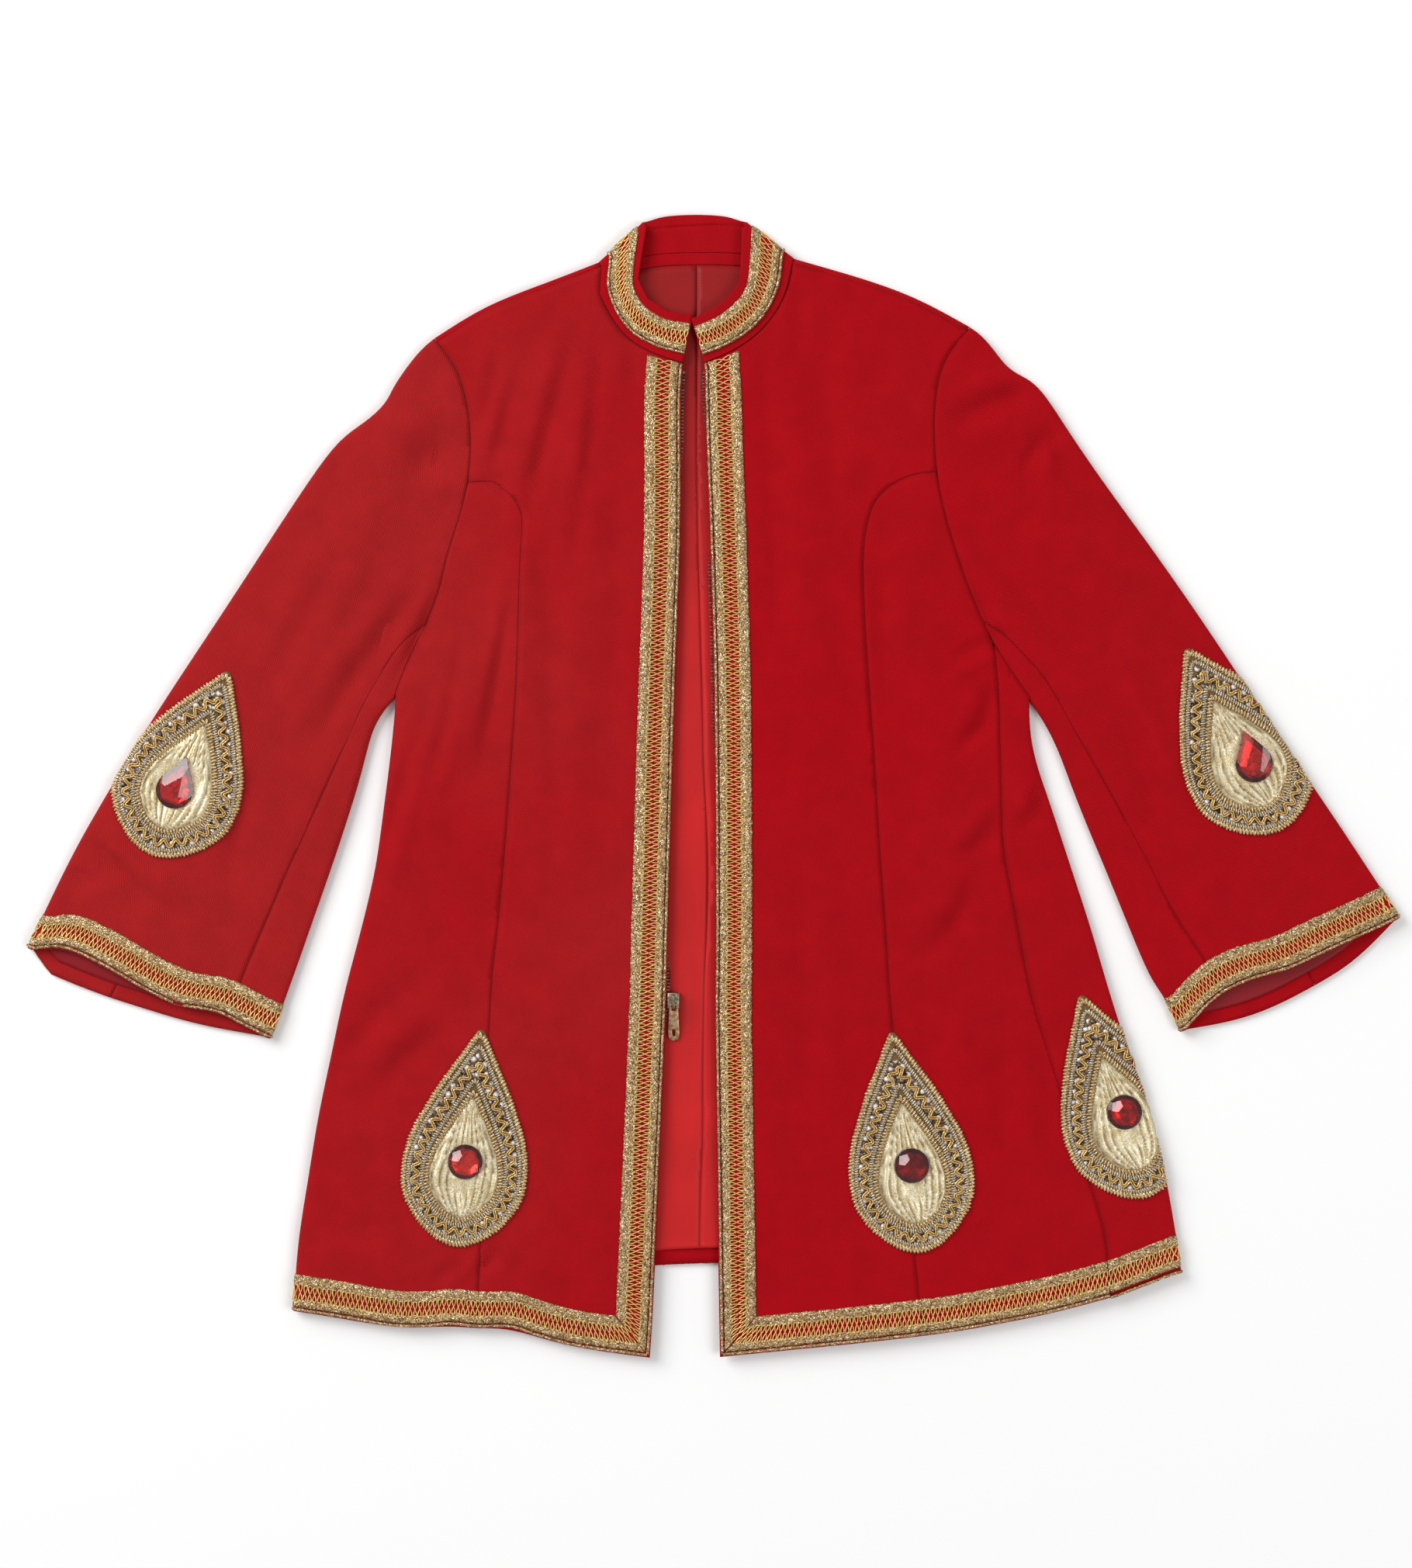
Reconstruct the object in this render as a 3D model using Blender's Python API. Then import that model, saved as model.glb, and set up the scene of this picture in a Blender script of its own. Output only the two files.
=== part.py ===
"""Lion tamer jacket in red wool with gold braid, laid on its back with the fronts up.

Right and left are the wearer's: the jacket's right side is at -X, its collar points to +Y, and its
underside lies flat on z = 0. Sizes are in millimetres, and each mesh is made in metres.

Every cloth piece is a wall built on a grid of spots, each a place on the middle of the cloth with the
outward direction there. Neighbours share the spots of their seam, and each is drawn back from it by half
of the seam's gap. Braid, patches, lining and tape use the spots of the cloth that carries them, moved
out or in.
"""
import math
from collections import namedtuple

import bmesh
import bpy
from mathutils import Vector

MM = 0.001

# Cloth and trim, in mm
WALL = 1.6
SEAM = 0.3
COLLAR_WALL = 2.6
LINING = 1.0
BRAID_WIDTH = 27.0
BRAID_EDGE = 1.0
FRONT_LEVEL = 7.6
UNDER_LEVEL = WALL / 2
FOLD_RADIUS = 3.4
BRAID_ROOM = 1.5
ARC_STEPS = 4
BRAID_ZONE = 30.0

Spot = namedtuple("Spot", "place out")
Fold = namedtuple("Fold", "x0 y0 x1 y1 half_width height")
Section = namedtuple("Section", "outer_x outer_y inner_x inner_y")
Across = namedtuple("Across", "width inner outer")
Teardrop = namedtuple("Teardrop", "x y radius tip lean")

# Soft folds of the upper layer: a ridge, or a hollow where the height is negative, along a line.
TOP_FOLDS = [
    Fold(-152, 325, -128, -40, 24, 3.2),
    Fold(-98, 330, -92, 70, 20, 2.6),
    Fold(-112, 60, -104, -110, 18, 2.0),
    Fold(-212, 48, -250, -84, 17, 2.8),
    Fold(-186, 96, -222, -70, 15, 2.2),
    Fold(-205, 128, -229, 74, 13, -2.6),
    Fold(-213, 285, -250, 180, 20, 3.0),
    Fold(-246, 236, -292, 78, 22, 2.8),
    Fold(-452, -44, -398, -92, 14, 2.2),
    Fold(-436, -70, -384, -110, 12, 1.8),
    Fold(100, 310, 64, 60, 26, 2.6),
    Fold(150, 220, 160, -60, 22, 2.4),
    Fold(172, 266, 232, 260, 11, -1.8),
    Fold(226, 256, 262, 230, 11, -1.6),
    Fold(216, 30, 252, -150, 13, 2.2),
    Fold(186, 118, 222, 78, 13, -2.2),
    Fold(236, 214, 300, 118, 24, 2.8),
    Fold(300, 90, 352, -60, 18, 2.4),
]

# Outline of each seam and free edge in plan, as (x, y) in mm.
RIGHT_SHOULDER_EDGE = [(-203, 325.5), (-184.8, 340.1), (-162.2, 351.4), (-129.9, 362.7), (-82.5, 381)]
LEFT_SHOULDER_EDGE = [(58.5, 383.5), (93.8, 374), (128.3, 362.7), (159.3, 351.4), (187, 333.8)]
BACK_NECK = [(-82.5, 381), (-60, 386.6), (-12, 388.4), (38, 387.6), (58.5, 383.5)]
RIGHT_NECK = [(-81.1, 377.8), (-84, 364), (-74.6, 340.7), (-61, 323.7), (-46.9, 315.3), (-21.5, 307.4)]
LEFT_NECK = [(57.3, 380.3), (55.4, 363.9), (46.9, 345.2), (32.8, 328.3), (18.6, 318.1), (-6.5, 307.4)]
RIGHT_FRONT_EDGE = [(-21.5, 307.4), (-23, 285), (-23, 232), (-23.5, 176), (-27.5, 63), (-32.5, -106),
                    (-34, -163), (-44, -388), (-46, -417)]
LEFT_FRONT_EDGE = [(-6.5, 307.4), (-5.5, 255), (-2.5, 176), (0.5, 63), (1.5, -106), (1.1, -163),
                   (4.5, -388), (5, -416.5)]
RIGHT_ARMHOLE_UPPER = [(-200.9, 322.9), (-195.5, 317), (-184, 299), (-178, 273), (-175.7, 248.6),
                       (-178.5, 220.3)]
RIGHT_ARMHOLE_LOWER = [(-178.5, 220.3), (-182.5, 201.7), (-190, 179), (-195.5, 160.5), (-198.5, 142.4)]
RIGHT_ARMHOLE_VALLEY = [(-198.5, 142.4), (-212, 112), (-225, 86), (-231.1, 67.4)]
RIGHT_ARMHOLE_BACK = [(-200.9, 322.9), (-187, 296), (-181, 260), (-184, 215), (-194, 165), (-210, 118),
                      (-226, 79)]
LEFT_ARMHOLE_UPPER = [(185.1, 331), (172.9, 317.5), (165.5, 302.8), (162, 281.9), (161, 259.9),
                      (162.7, 227.7)]
LEFT_ARMHOLE_LOWER = [(162.7, 227.7), (167.8, 201.7), (175, 177.4), (184, 151)]
LEFT_ARMHOLE_VALLEY = [(184, 151), (193, 129), (204.5, 104)]
LEFT_ARMHOLE_TAIL = [(204.5, 104), (215.3, 87), (230.5, 65)]
LEFT_ARMHOLE_BACK = [(185.1, 331), (171, 300), (166.5, 260), (170, 215), (182, 165), (202, 118), (230.5, 65)]
RIGHT_PRINCESS_TOP = [(-178.5, 220.3), (-159.9, 220.9), (-148.6, 213), (-141.2, 204.5), (-138.4, 192.1)]
RIGHT_PRINCESS = [(-138.4, 192.1), (-140.1, 169.5), (-141.2, 136), (-142.9, 72), (-147.5, 4), (-152, -54),
                  (-157, -108), (-161, -143.5), (-171.8, -395.5)]
LEFT_PRINCESS_TOP = [(162.7, 227.7), (150.9, 227.1), (135.6, 222), (120.9, 210.7), (114.1, 197.7)]
LEFT_PRINCESS = [(114.1, 197.7), (110.2, 184.8), (109.6, 160.5), (110.2, 132), (112.4, 95), (118, 15),
                 (122, -51), (126, -104.5), (130, -162.7), (153, -401.1)]
LEFT_SIDE_SEAM = [(204.5, 104), (207.4, 92), (208.5, 55), (210.2, 2), (211.3, -46), (219.2, -86), (227, -129),
                  (234, -163), (277.4, -298), (286.5, -328), (289.5, -373.3)]
RIGHT_SIDE_EDGE = [(-231.1, 64), (-233.9, 29.4), (-239.6, -15.8), (-245.8, -61), (-256.5, -106),
                   (-268.4, -151), (-278, -196.6), (-287.6, -241.8), (-294.9, -287), (-302, -332),
                   (-305.7, -383.1)]
LEFT_SIDE_EDGE = [(230.5, 61.6), (231.6, 29.4), (246.3, -15.8), (261, -61), (275.7, -106), (288.7, -151),
                  (303.4, -196.6), (318.7, -241.8), (329.4, -287), (337.3, -332), (340.7, -354.8)]
RIGHT_CENTRE_HEM = [(-171.8, -395.5), (-146.3, -395.8), (-129.4, -401.4), (-101.1, -409.2), (-46, -417)]
RIGHT_SIDE_HEM = [(-302.3, -383.4), (-267.8, -388.7), (-236.7, -394.4), (-211.3, -395.5), (-191.5, -393.6),
                  (-171.8, -395.5)]
LEFT_CENTRE_HEM = [(153, -401.1), (107.9, -406.2), (5, -416.5)]
LEFT_SIDE_HEM = [(153, -401.1), (175.7, -398.3), (243.5, -385.3), (289.5, -373.3)]
BACK_HEM = [(-294, -386.5), (-265, -388.7), (-180.2, -368.9), (-95.5, -354.8), (-10.7, -348.6),
            (158.8, -348.6), (300, -352), (337.4, -354.8)]
RIGHT_CUFF_FRONT = [(-499.5, -118.6), (-474, -119.2), (-445.8, -131.1), (-410.8, -150.9), (-389.8, -160.5),
                    (-361.6, -166.1), (-340.7, -176.3), (-323.2, -184.8)]
RIGHT_CUFF_BACK = [(-499.5, -118.6), (-489.9, -133.9), (-459.9, -148), (-418.1, -162.2), (-375.7, -174.6),
                   (-323.2, -184.8)]
LEFT_CUFF_FRONT = [(500.6, -96.6), (479.7, -106.8), (446.9, -121.5), (419.8, -133.9), (393.2, -141.8),
                   (373.5, -150.9), (359.9, -161.6), (341.3, -179.7)]
LEFT_CUFF_BACK = [(500.6, -96.6), (486.5, -110.7), (466.7, -129.9), (440.1, -145.8), (406.8, -163.3),
                  (380.2, -172.3), (341.3, -179.7)]

# Each sleeve's sections, from the armhole to the cuff: where they meet the outer and the inner fold.
RIGHT_SLEEVE = [
    Section(-203, 325.5, -231.1, 64),
    Section(-213, 317.5, -237.5, 58),
    Section(-224, 303.5, -243, 50.5),
    Section(-233.5, 289.5, -247.5, 42),
    Section(-238, 278, -250, 35),
    Section(-253.7, 263.9, -252.5, 26),
    Section(-272, 253, -256, 12),
    Section(-293, 224, -261, -6),
    Section(-320, 183, -268, -28),
    Section(-350, 136.5, -275.5, -51),
    Section(-381, 90, -284, -75.5),
    Section(-412, 43.5, -293, -101),
    Section(-441, -5.5, -302, -127),
    Section(-466, -48, -309, -146.5),
    Section(-486.5, -91.5, -313.4, -159),
    Section(-499.5, -118.6, -323.2, -184.8),
]
LEFT_SLEEVE = [
    Section(187, 333.8, 230.5, 61.6),
    Section(195.5, 328, 235, 56),
    Section(204.5, 317.5, 239.5, 49.5),
    Section(212.4, 306.2, 244.5, 41),
    Section(222, 299, 249.5, 31),
    Section(234, 294, 254, 20.5),
    Section(246, 278.5, 259, 7),
    Section(264, 250, 265, -9),
    Section(288, 215.5, 273, -29),
    Section(315, 179, 282.5, -51.5),
    Section(344, 138, 292, -74.5),
    Section(373, 95, 301.5, -98),
    Section(402, 50.5, 311.5, -122.5),
    Section(432, 5.5, 320.5, -143),
    Section(484.5, -71.5, 330.5, -155.5),
    Section(500.6, -96.6, 341.3, -179.7),
]
RIGHT_SHOULDER_INWARD = (0.628, -0.778)
LEFT_SHOULDER_INWARD = (-0.553, -0.833)

RIGHT_SLEEVE_PATCH = Teardrop(-391.8, -7.4, 46.8, 99, -23.5)
LEFT_SLEEVE_PATCH = Teardrop(392, 10, 48, 102, 28)
RIGHT_HEM_PATCH = Teardrop(-182.2, -290, 46, 114, -6.9)
LEFT_HEM_PATCH = Teardrop(145.8, -295, 45.5, 117.5, 7.8)
LEFT_SIDE_PATCH = Teardrop(303, -256, 46, 110, 19)


def smooth(t):
    t = min(max(t, 0.0), 1.0)
    return t * t * (3 - 2 * t)


def flat(point):
    return Vector((point[0], point[1], 0.0))


def trace(points, steps, fractions=None):
    """A smooth line through the points, as places evenly spaced along it, or at the given fractions."""
    knots = [flat(p) for p in points]
    knots = [knots[0] * 2 - knots[1]] + knots + [knots[-1] * 2 - knots[-2]]
    fine = []
    for a, b, c, d in zip(knots, knots[1:], knots[2:], knots[3:]):
        for k in range(12):
            t = k / 12
            span = (c - b).length
            tangent_b = (c - a) * (span / ((b - a).length + span))
            tangent_c = (d - b) * (span / ((d - c).length + span))
            fine.append(b * (2 * t**3 - 3 * t**2 + 1) + tangent_b * (t**3 - 2 * t**2 + t)
                        + c * (3 * t**2 - 2 * t**3) + tangent_c * (t**3 - t**2))
    fine.append(knots[-2])
    travel = [0.0]
    for a, b in zip(fine, fine[1:]):
        travel.append(travel[-1] + (b - a).length)
    places = []
    for u in fractions or [i / steps for i in range(steps + 1)]:
        want = u * travel[-1]
        k = max(i for i in range(len(travel) - 1) if travel[i] <= want + 1e-9)
        places.append(fine[k].lerp(fine[k + 1], (want - travel[k]) / (travel[k + 1] - travel[k])))
    return places


def distance_to(points, x, y):
    """Distance in plan from a place to a line of points."""
    here = flat((x, y))
    best = 1e9
    for a, b in zip(points, points[1:]):
        a, b = flat(a), flat(b)
        along = min(max((here - a).dot(b - a) / (b - a).length_squared, 0.0), 1.0)
        best = min(best, (here - a.lerp(b, along)).length)
    return best


def fold_height(fold, x, y):
    start, end = flat((fold.x0, fold.y0)), flat((fold.x1, fold.y1))
    run = end - start
    away = flat((x, y)) - start
    along = away.dot(run) / run.length_squared
    aside = abs(away.x * run.y - away.y * run.x) / run.length
    if aside >= fold.half_width or not -0.2 < along < 1.2:
        return 0.0
    taper = smooth((along + 0.2) / 0.4) * smooth((1.2 - along) / 0.4)
    return fold.height * taper * (0.5 + 0.5 * math.cos(math.pi * aside / fold.half_width))


# Where the underside is held off the surface: (line, reach, slope, rise), for braid and rolled patches.
SIDE_PATCH_LINE = [(314, -222), (332, -290)]
SLEEVE_PATCH_LINE = [(396, 64), (436, 0)]
LIFTS = [
    (BACK_HEM, BRAID_ZONE + 2, 26, BRAID_ROOM),
    (RIGHT_CUFF_BACK, BRAID_ZONE + 8, 26, BRAID_ROOM),
    (LEFT_CUFF_BACK, BRAID_ZONE + 8, 26, BRAID_ROOM),
    (BACK_NECK, 5, 30, BRAID_ROOM),
    (SIDE_PATCH_LINE, 50, 34, 2.4),
    (SLEEVE_PATCH_LINE, 16, 40, 2.4),
]
# Soft mounds of the upper layer: (x, y, radius, height).
MOUNDS = [(-412, -128, 72, 3.6), (420, -112, 72, 3.4), (-112, 210, 60, 1.6), (86, 215, 55, 1.6)]


def under_height(x, y):
    rise = 0.0
    for line, reach, slope, lift in LIFTS:
        rise = max(rise, lift * smooth(1 - (distance_to(line, x, y) - reach) / slope))
    return UNDER_LEVEL + rise


def top_height(x, y):
    height = FRONT_LEVEL
    for fold in TOP_FOLDS:
        height += fold_height(fold, x, y)
    for mound_x, mound_y, radius, rise in MOUNDS:
        height += rise * smooth(1 - math.hypot(x - mound_x, y - mound_y) / radius)
    return height


def surface(height, x, y, up):
    step = 0.5
    slope_x = (height(x + step, y) - height(x - step, y)) / (2 * step)
    slope_y = (height(x, y + step) - height(x, y - step)) / (2 * step)
    out = Vector((-slope_x, -slope_y, 1.0)).normalized() * up
    return Spot(Vector((x, y, height(x, y))), out)


def over(point):
    """A spot of the upper layer above a place in plan."""
    return surface(top_height, point[0], point[1], 1)


def beneath(point):
    """A spot of the lower layer, which faces the surface that the jacket lies on."""
    return surface(under_height, point[0], point[1], -1)


def arc(edge, inward):
    """Spots round a side fold, from the upper layer to the lower one."""
    edge, inward = flat(edge), flat(inward).normalized()
    centre = edge + inward * FOLD_RADIUS
    top, low = top_height(centre.x, centre.y), under_height(centre.x, centre.y)
    middle, half = (top + low) / 2, (top - low) / 2
    spots = []
    for k in range(ARC_STEPS + 1):
        turn = math.pi * k / ARC_STEPS
        place = centre - inward * (FOLD_RADIUS * math.sin(turn))
        place.z = middle + half * math.cos(turn)
        out = inward * (-math.sin(turn) / FOLD_RADIUS) + Vector((0, 0, math.cos(turn) / half))
        spots.append(Spot(place, out.normalized()))
    return spots


def inward_directions(edges, side, first=None):
    """Directions in plan from a fold's edge into the cloth, with the cloth on the left (1) or right (-1)."""
    directions = []
    for k in range(len(edges)):
        run = (edges[min(k + 1, len(edges) - 1)] - edges[max(k - 1, 0)]).normalized()
        directions.append(Vector((-run.y, run.x, 0)) * side)
    if first is not None:
        directions[0] = flat(first).normalized()
    return directions


def coons(left, right, top, bottom):
    """Places in plan between four edges. The rows run from the left edge to the right one."""
    def along(line):
        travel = [0.0]
        for a, b in zip(line, line[1:]):
            travel.append(travel[-1] + (b - a).length)
        return [t / travel[-1] for t in travel]
    top_u, bottom_u = along(top), along(bottom)
    rows = []
    for i in range(len(left)):
        v = i / (len(left) - 1)
        row = []
        for j in range(len(top)):
            u = top_u[j] * (1 - v) + bottom_u[j] * v
            bow_top = top[j] - top[0].lerp(top[-1], top_u[j])
            bow_bottom = bottom[j] - bottom[0].lerp(bottom[-1], bottom_u[j])
            row.append(left[i].lerp(right[i], u) + bow_top * (1 - v)**2 + bow_bottom * v**2)
        rows.append(row)
    return rows


def lay(rows, layer):
    return [[layer(point) for point in row] for row in rows]


def material(name, colour, roughness, metallic=0.0):
    finish = bpy.data.materials.new(name)
    finish.use_nodes = True
    shader = finish.node_tree.nodes["Principled BSDF"]
    shader.inputs["Base Color"].default_value = (*colour, 1.0)
    shader.inputs["Roughness"].default_value = roughness
    shader.inputs["Metallic"].default_value = metallic
    finish.diffuse_color = (*colour, 1.0)
    return finish


def finish_object(name, bm, finish):
    bmesh.ops.recalc_face_normals(bm, faces=bm.faces)
    bmesh.ops.scale(bm, vec=(MM, MM, MM), verts=bm.verts)
    mesh = bpy.data.meshes.new(name)
    bm.to_mesh(mesh)
    bm.free()
    mesh.shade_smooth()
    mesh.set_sharp_from_angle(angle=math.radians(40))
    mesh.materials.append(finish)
    jacket_object = bpy.data.objects.new(name, mesh)
    PARTS.objects.link(jacket_object)
    return jacket_object


def drawn_back(cells, borders):
    """How far each border spot moves along the cloth, so that the piece ends half a seam's gap short."""
    inward = {}
    for (a, b), cell in borders.items():
        middle = sum((cells[c].place for c in cell), Vector()) / len(cell)
        edge = cells[b].place - cells[a].place
        if edge.length < 1e-6:
            continue
        edge.normalize()
        toward = middle - (cells[a].place + cells[b].place) / 2
        toward -= edge * toward.dot(edge)
        toward.normalize()
        inward.setdefault(a, []).append(toward)
        inward.setdefault(b, []).append(toward)
    moves = {}
    for spot, directions in inward.items():
        total = sum(directions, Vector())
        total.normalize()
        reach = SEAM / 2 / max(0.5, min(total.dot(d) for d in directions))
        moves[spot] = total * reach
    return moves


def wall(name, grid, inner, outer, finish, closed=False, shrink=True):
    """A closed wall on a grid of spots, between two distances from the spots.

    inner and outer are distances outward from the spots, one for all or one for each column. A spot
    that is None leaves its cells out. closed joins the last row to the first. No point of the wall goes
    below the surface that the jacket lies on.
    """
    cells = {(i, j): spot for i, row in enumerate(grid) for j, spot in enumerate(row) if spot is not None}
    height = len(grid)
    quads = []
    for i in range(height if closed else height - 1):
        for j in range(max(len(row) for row in grid) - 1):
            quad = [(i, j), ((i + 1) % height, j), ((i + 1) % height, j + 1), (i, j + 1)]
            if all(corner in cells for corner in quad):
                quads.append(quad)
    borders = {}
    for quad in quads:
        for a, b in zip(quad, quad[1:] + quad[:1]):
            if (b, a) in borders:
                del borders[(b, a)]
            else:
                borders[(a, b)] = quad
    moves = drawn_back(cells, borders) if shrink else {}
    bm = bmesh.new()
    layers = []
    for offset in (outer, inner):
        layer = {}
        for key in {corner for quad in quads for corner in quad}:
            spot = cells[key]
            distance = offset[key[1]] if isinstance(offset, (list, tuple)) else offset
            layer[key] = spot.place + moves.get(key, Vector()) + spot.out * distance
            layer[key].z = max(layer[key].z, 0.0)
        layers.append({key: bm.verts.new(place) for key, place in sorted(layer.items())})
    top, low = layers
    for a, b, c, d in quads:
        for corners in ((a, b, c), (a, c, d)):
            bm.faces.new([top[corner] for corner in corners])
            bm.faces.new([low[corner] for corner in reversed(corners)])
    for a, b in borders:
        bm.faces.new([top[b], top[a], low[a], low[b]])
    return finish_object(name, bm, finish)


def strip(edge_spots, inner_spots, profile, mitre=None, mitre_row=0, squeezed=False):
    """Spots of a trim along an edge, one column for each width of its profile.

    A mitre is the direction of the slanting end of one row, for each mm of width, and takes the place
    of the row next to it. A squeezed trim fills the room between the two lines of spots.
    """
    rows = []
    replaced = None if mitre is None else (1 if mitre_row == 0 else len(edge_spots) - 2)
    for k, (near, far) in enumerate(zip(edge_spots, inner_spots)):
        if k == replaced:
            continue
        row = []
        gap = BRAID_WIDTH + BRAID_EDGE if squeezed else (far.place - near.place).length
        neighbour = edge_spots[1 if mitre_row == 0 else -2]
        run = (neighbour.place - near.place).normalized()
        for across in profile:
            share = across.width / gap
            place = near.place.lerp(far.place, share)
            if mitre is not None and k == mitre_row % len(edge_spots):
                place = near.place + mitre * across.width + run * SEAM
            row.append(Spot(place, near.out.lerp(far.out, share).normalized()))
        rows.append(row)
    return rows


# A braid lies on its cloth: two thick bands with a thinner ladder between them.
BRAID = [Across(BRAID_EDGE, 0.0, 0.7), Across(5.0, 0.0, 1.2), Across(14.0, 0.0, 0.75), Across(23.0, 0.0, 1.2),
         Across(BRAID_WIDTH, 0.0, 0.7)]


def braid(name, edge_spots, inner_spots, carrier_wall=WALL, closed=False, **ends):
    grid = strip(edge_spots, inner_spots, BRAID, **ends)
    base = carrier_wall / 2 + SEAM
    inner = [base + across.inner for across in BRAID]
    outer = [base + across.outer for across in BRAID]
    return wall(name, grid, inner, outer, GOLD, closed, shrink=not closed)


for leftover in list(bpy.data.objects):
    bpy.data.objects.remove(leftover)
PARTS = bpy.data.collections.new("lion_tamer_jacket")
bpy.context.scene.collection.children.link(PARTS)
CUTTERS = bpy.data.collections.new("lion_tamer_jacket_cutters")
bpy.context.scene.collection.children.link(CUTTERS)

WOOL = material("red_wool", (0.38, 0.012, 0.018), 0.9)
SATIN = material("red_lining", (0.52, 0.02, 0.03), 0.5)
GOLD = material("gold_braid", (0.55, 0.38, 0.14), 0.45, 0.6)
PATCH_GOLD = material("patch_gold", (0.68, 0.56, 0.3), 0.4, 0.6)
RUBY = material("ruby_glass", (0.3, 0.0, 0.01), 0.08)
STEEL = material("zip_steel", (0.25, 0.25, 0.24), 0.4, 1.0)
BRASS = material("pull_brass", (0.45, 0.32, 0.16), 0.35, 1.0)

# Armholes, princess seams and side folds, shared by the pieces on both sides of them.
ARMHOLE_STEPS = (5, 4, 3)
KINK_STEPS = 6
PRINCESS_STEPS = 26
SIDE_STEPS = PRINCESS_STEPS - ARMHOLE_STEPS[1] - ARMHOLE_STEPS[2]
NECK_STEPS = 5
BACK_ROWS = 7
SHOULDER_STEPS = 3
BACK_NECK_STEPS = 4
TAIL_STEPS = 2

right_upper = trace(RIGHT_ARMHOLE_UPPER, ARMHOLE_STEPS[0])
right_lower = trace(RIGHT_ARMHOLE_LOWER, ARMHOLE_STEPS[1])
right_valley = trace(RIGHT_ARMHOLE_VALLEY, ARMHOLE_STEPS[2])
right_back = trace(RIGHT_ARMHOLE_BACK, BACK_ROWS)
left_upper = trace(LEFT_ARMHOLE_UPPER, ARMHOLE_STEPS[0])
left_lower = trace(LEFT_ARMHOLE_LOWER, ARMHOLE_STEPS[1])
left_valley = trace(LEFT_ARMHOLE_VALLEY, ARMHOLE_STEPS[2])
left_tail = trace(LEFT_ARMHOLE_TAIL, TAIL_STEPS)
left_back = trace(LEFT_ARMHOLE_BACK, BACK_ROWS)

right_kink = trace(RIGHT_PRINCESS_TOP, KINK_STEPS)
right_princess = trace(RIGHT_PRINCESS, PRINCESS_STEPS)
left_kink = trace(LEFT_PRINCESS_TOP, KINK_STEPS)
left_princess = trace(LEFT_PRINCESS, PRINCESS_STEPS)
left_side_seam = trace(LEFT_SIDE_SEAM, SIDE_STEPS)
right_side_edge = trace(RIGHT_SIDE_EDGE, SIDE_STEPS)
left_side_edge = trace(LEFT_SIDE_EDGE, SIDE_STEPS)
right_side_inward = inward_directions(right_side_edge, 1, (0, 1))
left_side_inward = inward_directions(left_side_edge, -1, (0, 1))
right_side_arcs = [arc(e, d) for e, d in zip(right_side_edge, right_side_inward)]
left_side_arcs = [arc(e, d) for e, d in zip(left_side_edge, left_side_inward)]
right_side_top = [flat(spots[0].place) for spots in right_side_arcs]
right_side_under = [flat(spots[-1].place) for spots in right_side_arcs]
left_side_top = [flat(spots[0].place) for spots in left_side_arcs]
left_side_under = [flat(spots[-1].place) for spots in left_side_arcs]

# The right side seam is on the underside, a little inside the fold, and starts on the back armhole.
UNDERLAP = 9.0
right_under_seam = [flat(right_back[-1])] + [
    under + inward * UNDERLAP for under, inward in zip(right_side_under[1:], right_side_inward[1:])]

# The shoulder seams lie just in front of the shoulders' fold.
right_shoulder_edge = trace(RIGHT_SHOULDER_EDGE, SHOULDER_STEPS)
left_shoulder_edge = trace(LEFT_SHOULDER_EDGE, SHOULDER_STEPS)
right_shoulder_inward = inward_directions(right_shoulder_edge, -1, RIGHT_SHOULDER_INWARD)
left_shoulder_inward = inward_directions(left_shoulder_edge, -1)
left_shoulder_inward[-1] = flat(LEFT_SHOULDER_INWARD).normalized()
right_shoulder_arcs = [arc(e, d) for e, d in zip(right_shoulder_edge, right_shoulder_inward)]
left_shoulder_arcs = [arc(e, d) for e, d in zip(left_shoulder_edge, left_shoulder_inward)]


def along_line(line, pieces):
    """Each straight step of a line cut into equal pieces, so that its corners stay."""
    places = [line[0]]
    for a, b in zip(line, line[1:]):
        for k in range(1, pieces + 1):
            places.append(a.lerp(b, k / pieces))
    return places


def shoulder_front(arcs):
    return along_line([flat(spots[0].place) for spots in arcs], 2)


# Centre fronts
right_neck = trace([tuple(right_shoulder_arcs[-1][0].place)] + RIGHT_NECK[1:], NECK_STEPS)
left_neck = trace([tuple(left_shoulder_arcs[0][0].place)] + LEFT_NECK[1:], NECK_STEPS)
right_upper[0] = flat(right_shoulder_arcs[0][0].place)
left_upper[0] = flat(left_shoulder_arcs[-1][0].place)
right_front_edge = trace(RIGHT_FRONT_EDGE, KINK_STEPS + PRINCESS_STEPS)
left_front_edge = trace(LEFT_FRONT_EDGE, KINK_STEPS + PRINCESS_STEPS)
FRONT_COLUMNS = 2 * SHOULDER_STEPS

right_centre = lay(coons(right_upper + right_kink[1:] + right_princess[1:], right_neck + right_front_edge[1:],
                         shoulder_front(right_shoulder_arcs), trace(RIGHT_CENTRE_HEM, FRONT_COLUMNS)), over)
left_centre = lay(coons(left_upper + left_kink[1:] + left_princess[1:], left_neck + left_front_edge[1:],
                        list(reversed(shoulder_front(left_shoulder_arcs))),
                        trace(LEFT_CENTRE_HEM, FRONT_COLUMNS)), over)
wall("right_centre_front", right_centre, -WALL / 2, WALL / 2, WOOL)
wall("left_centre_front", left_centre, -WALL / 2, WALL / 2, WOOL)

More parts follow.
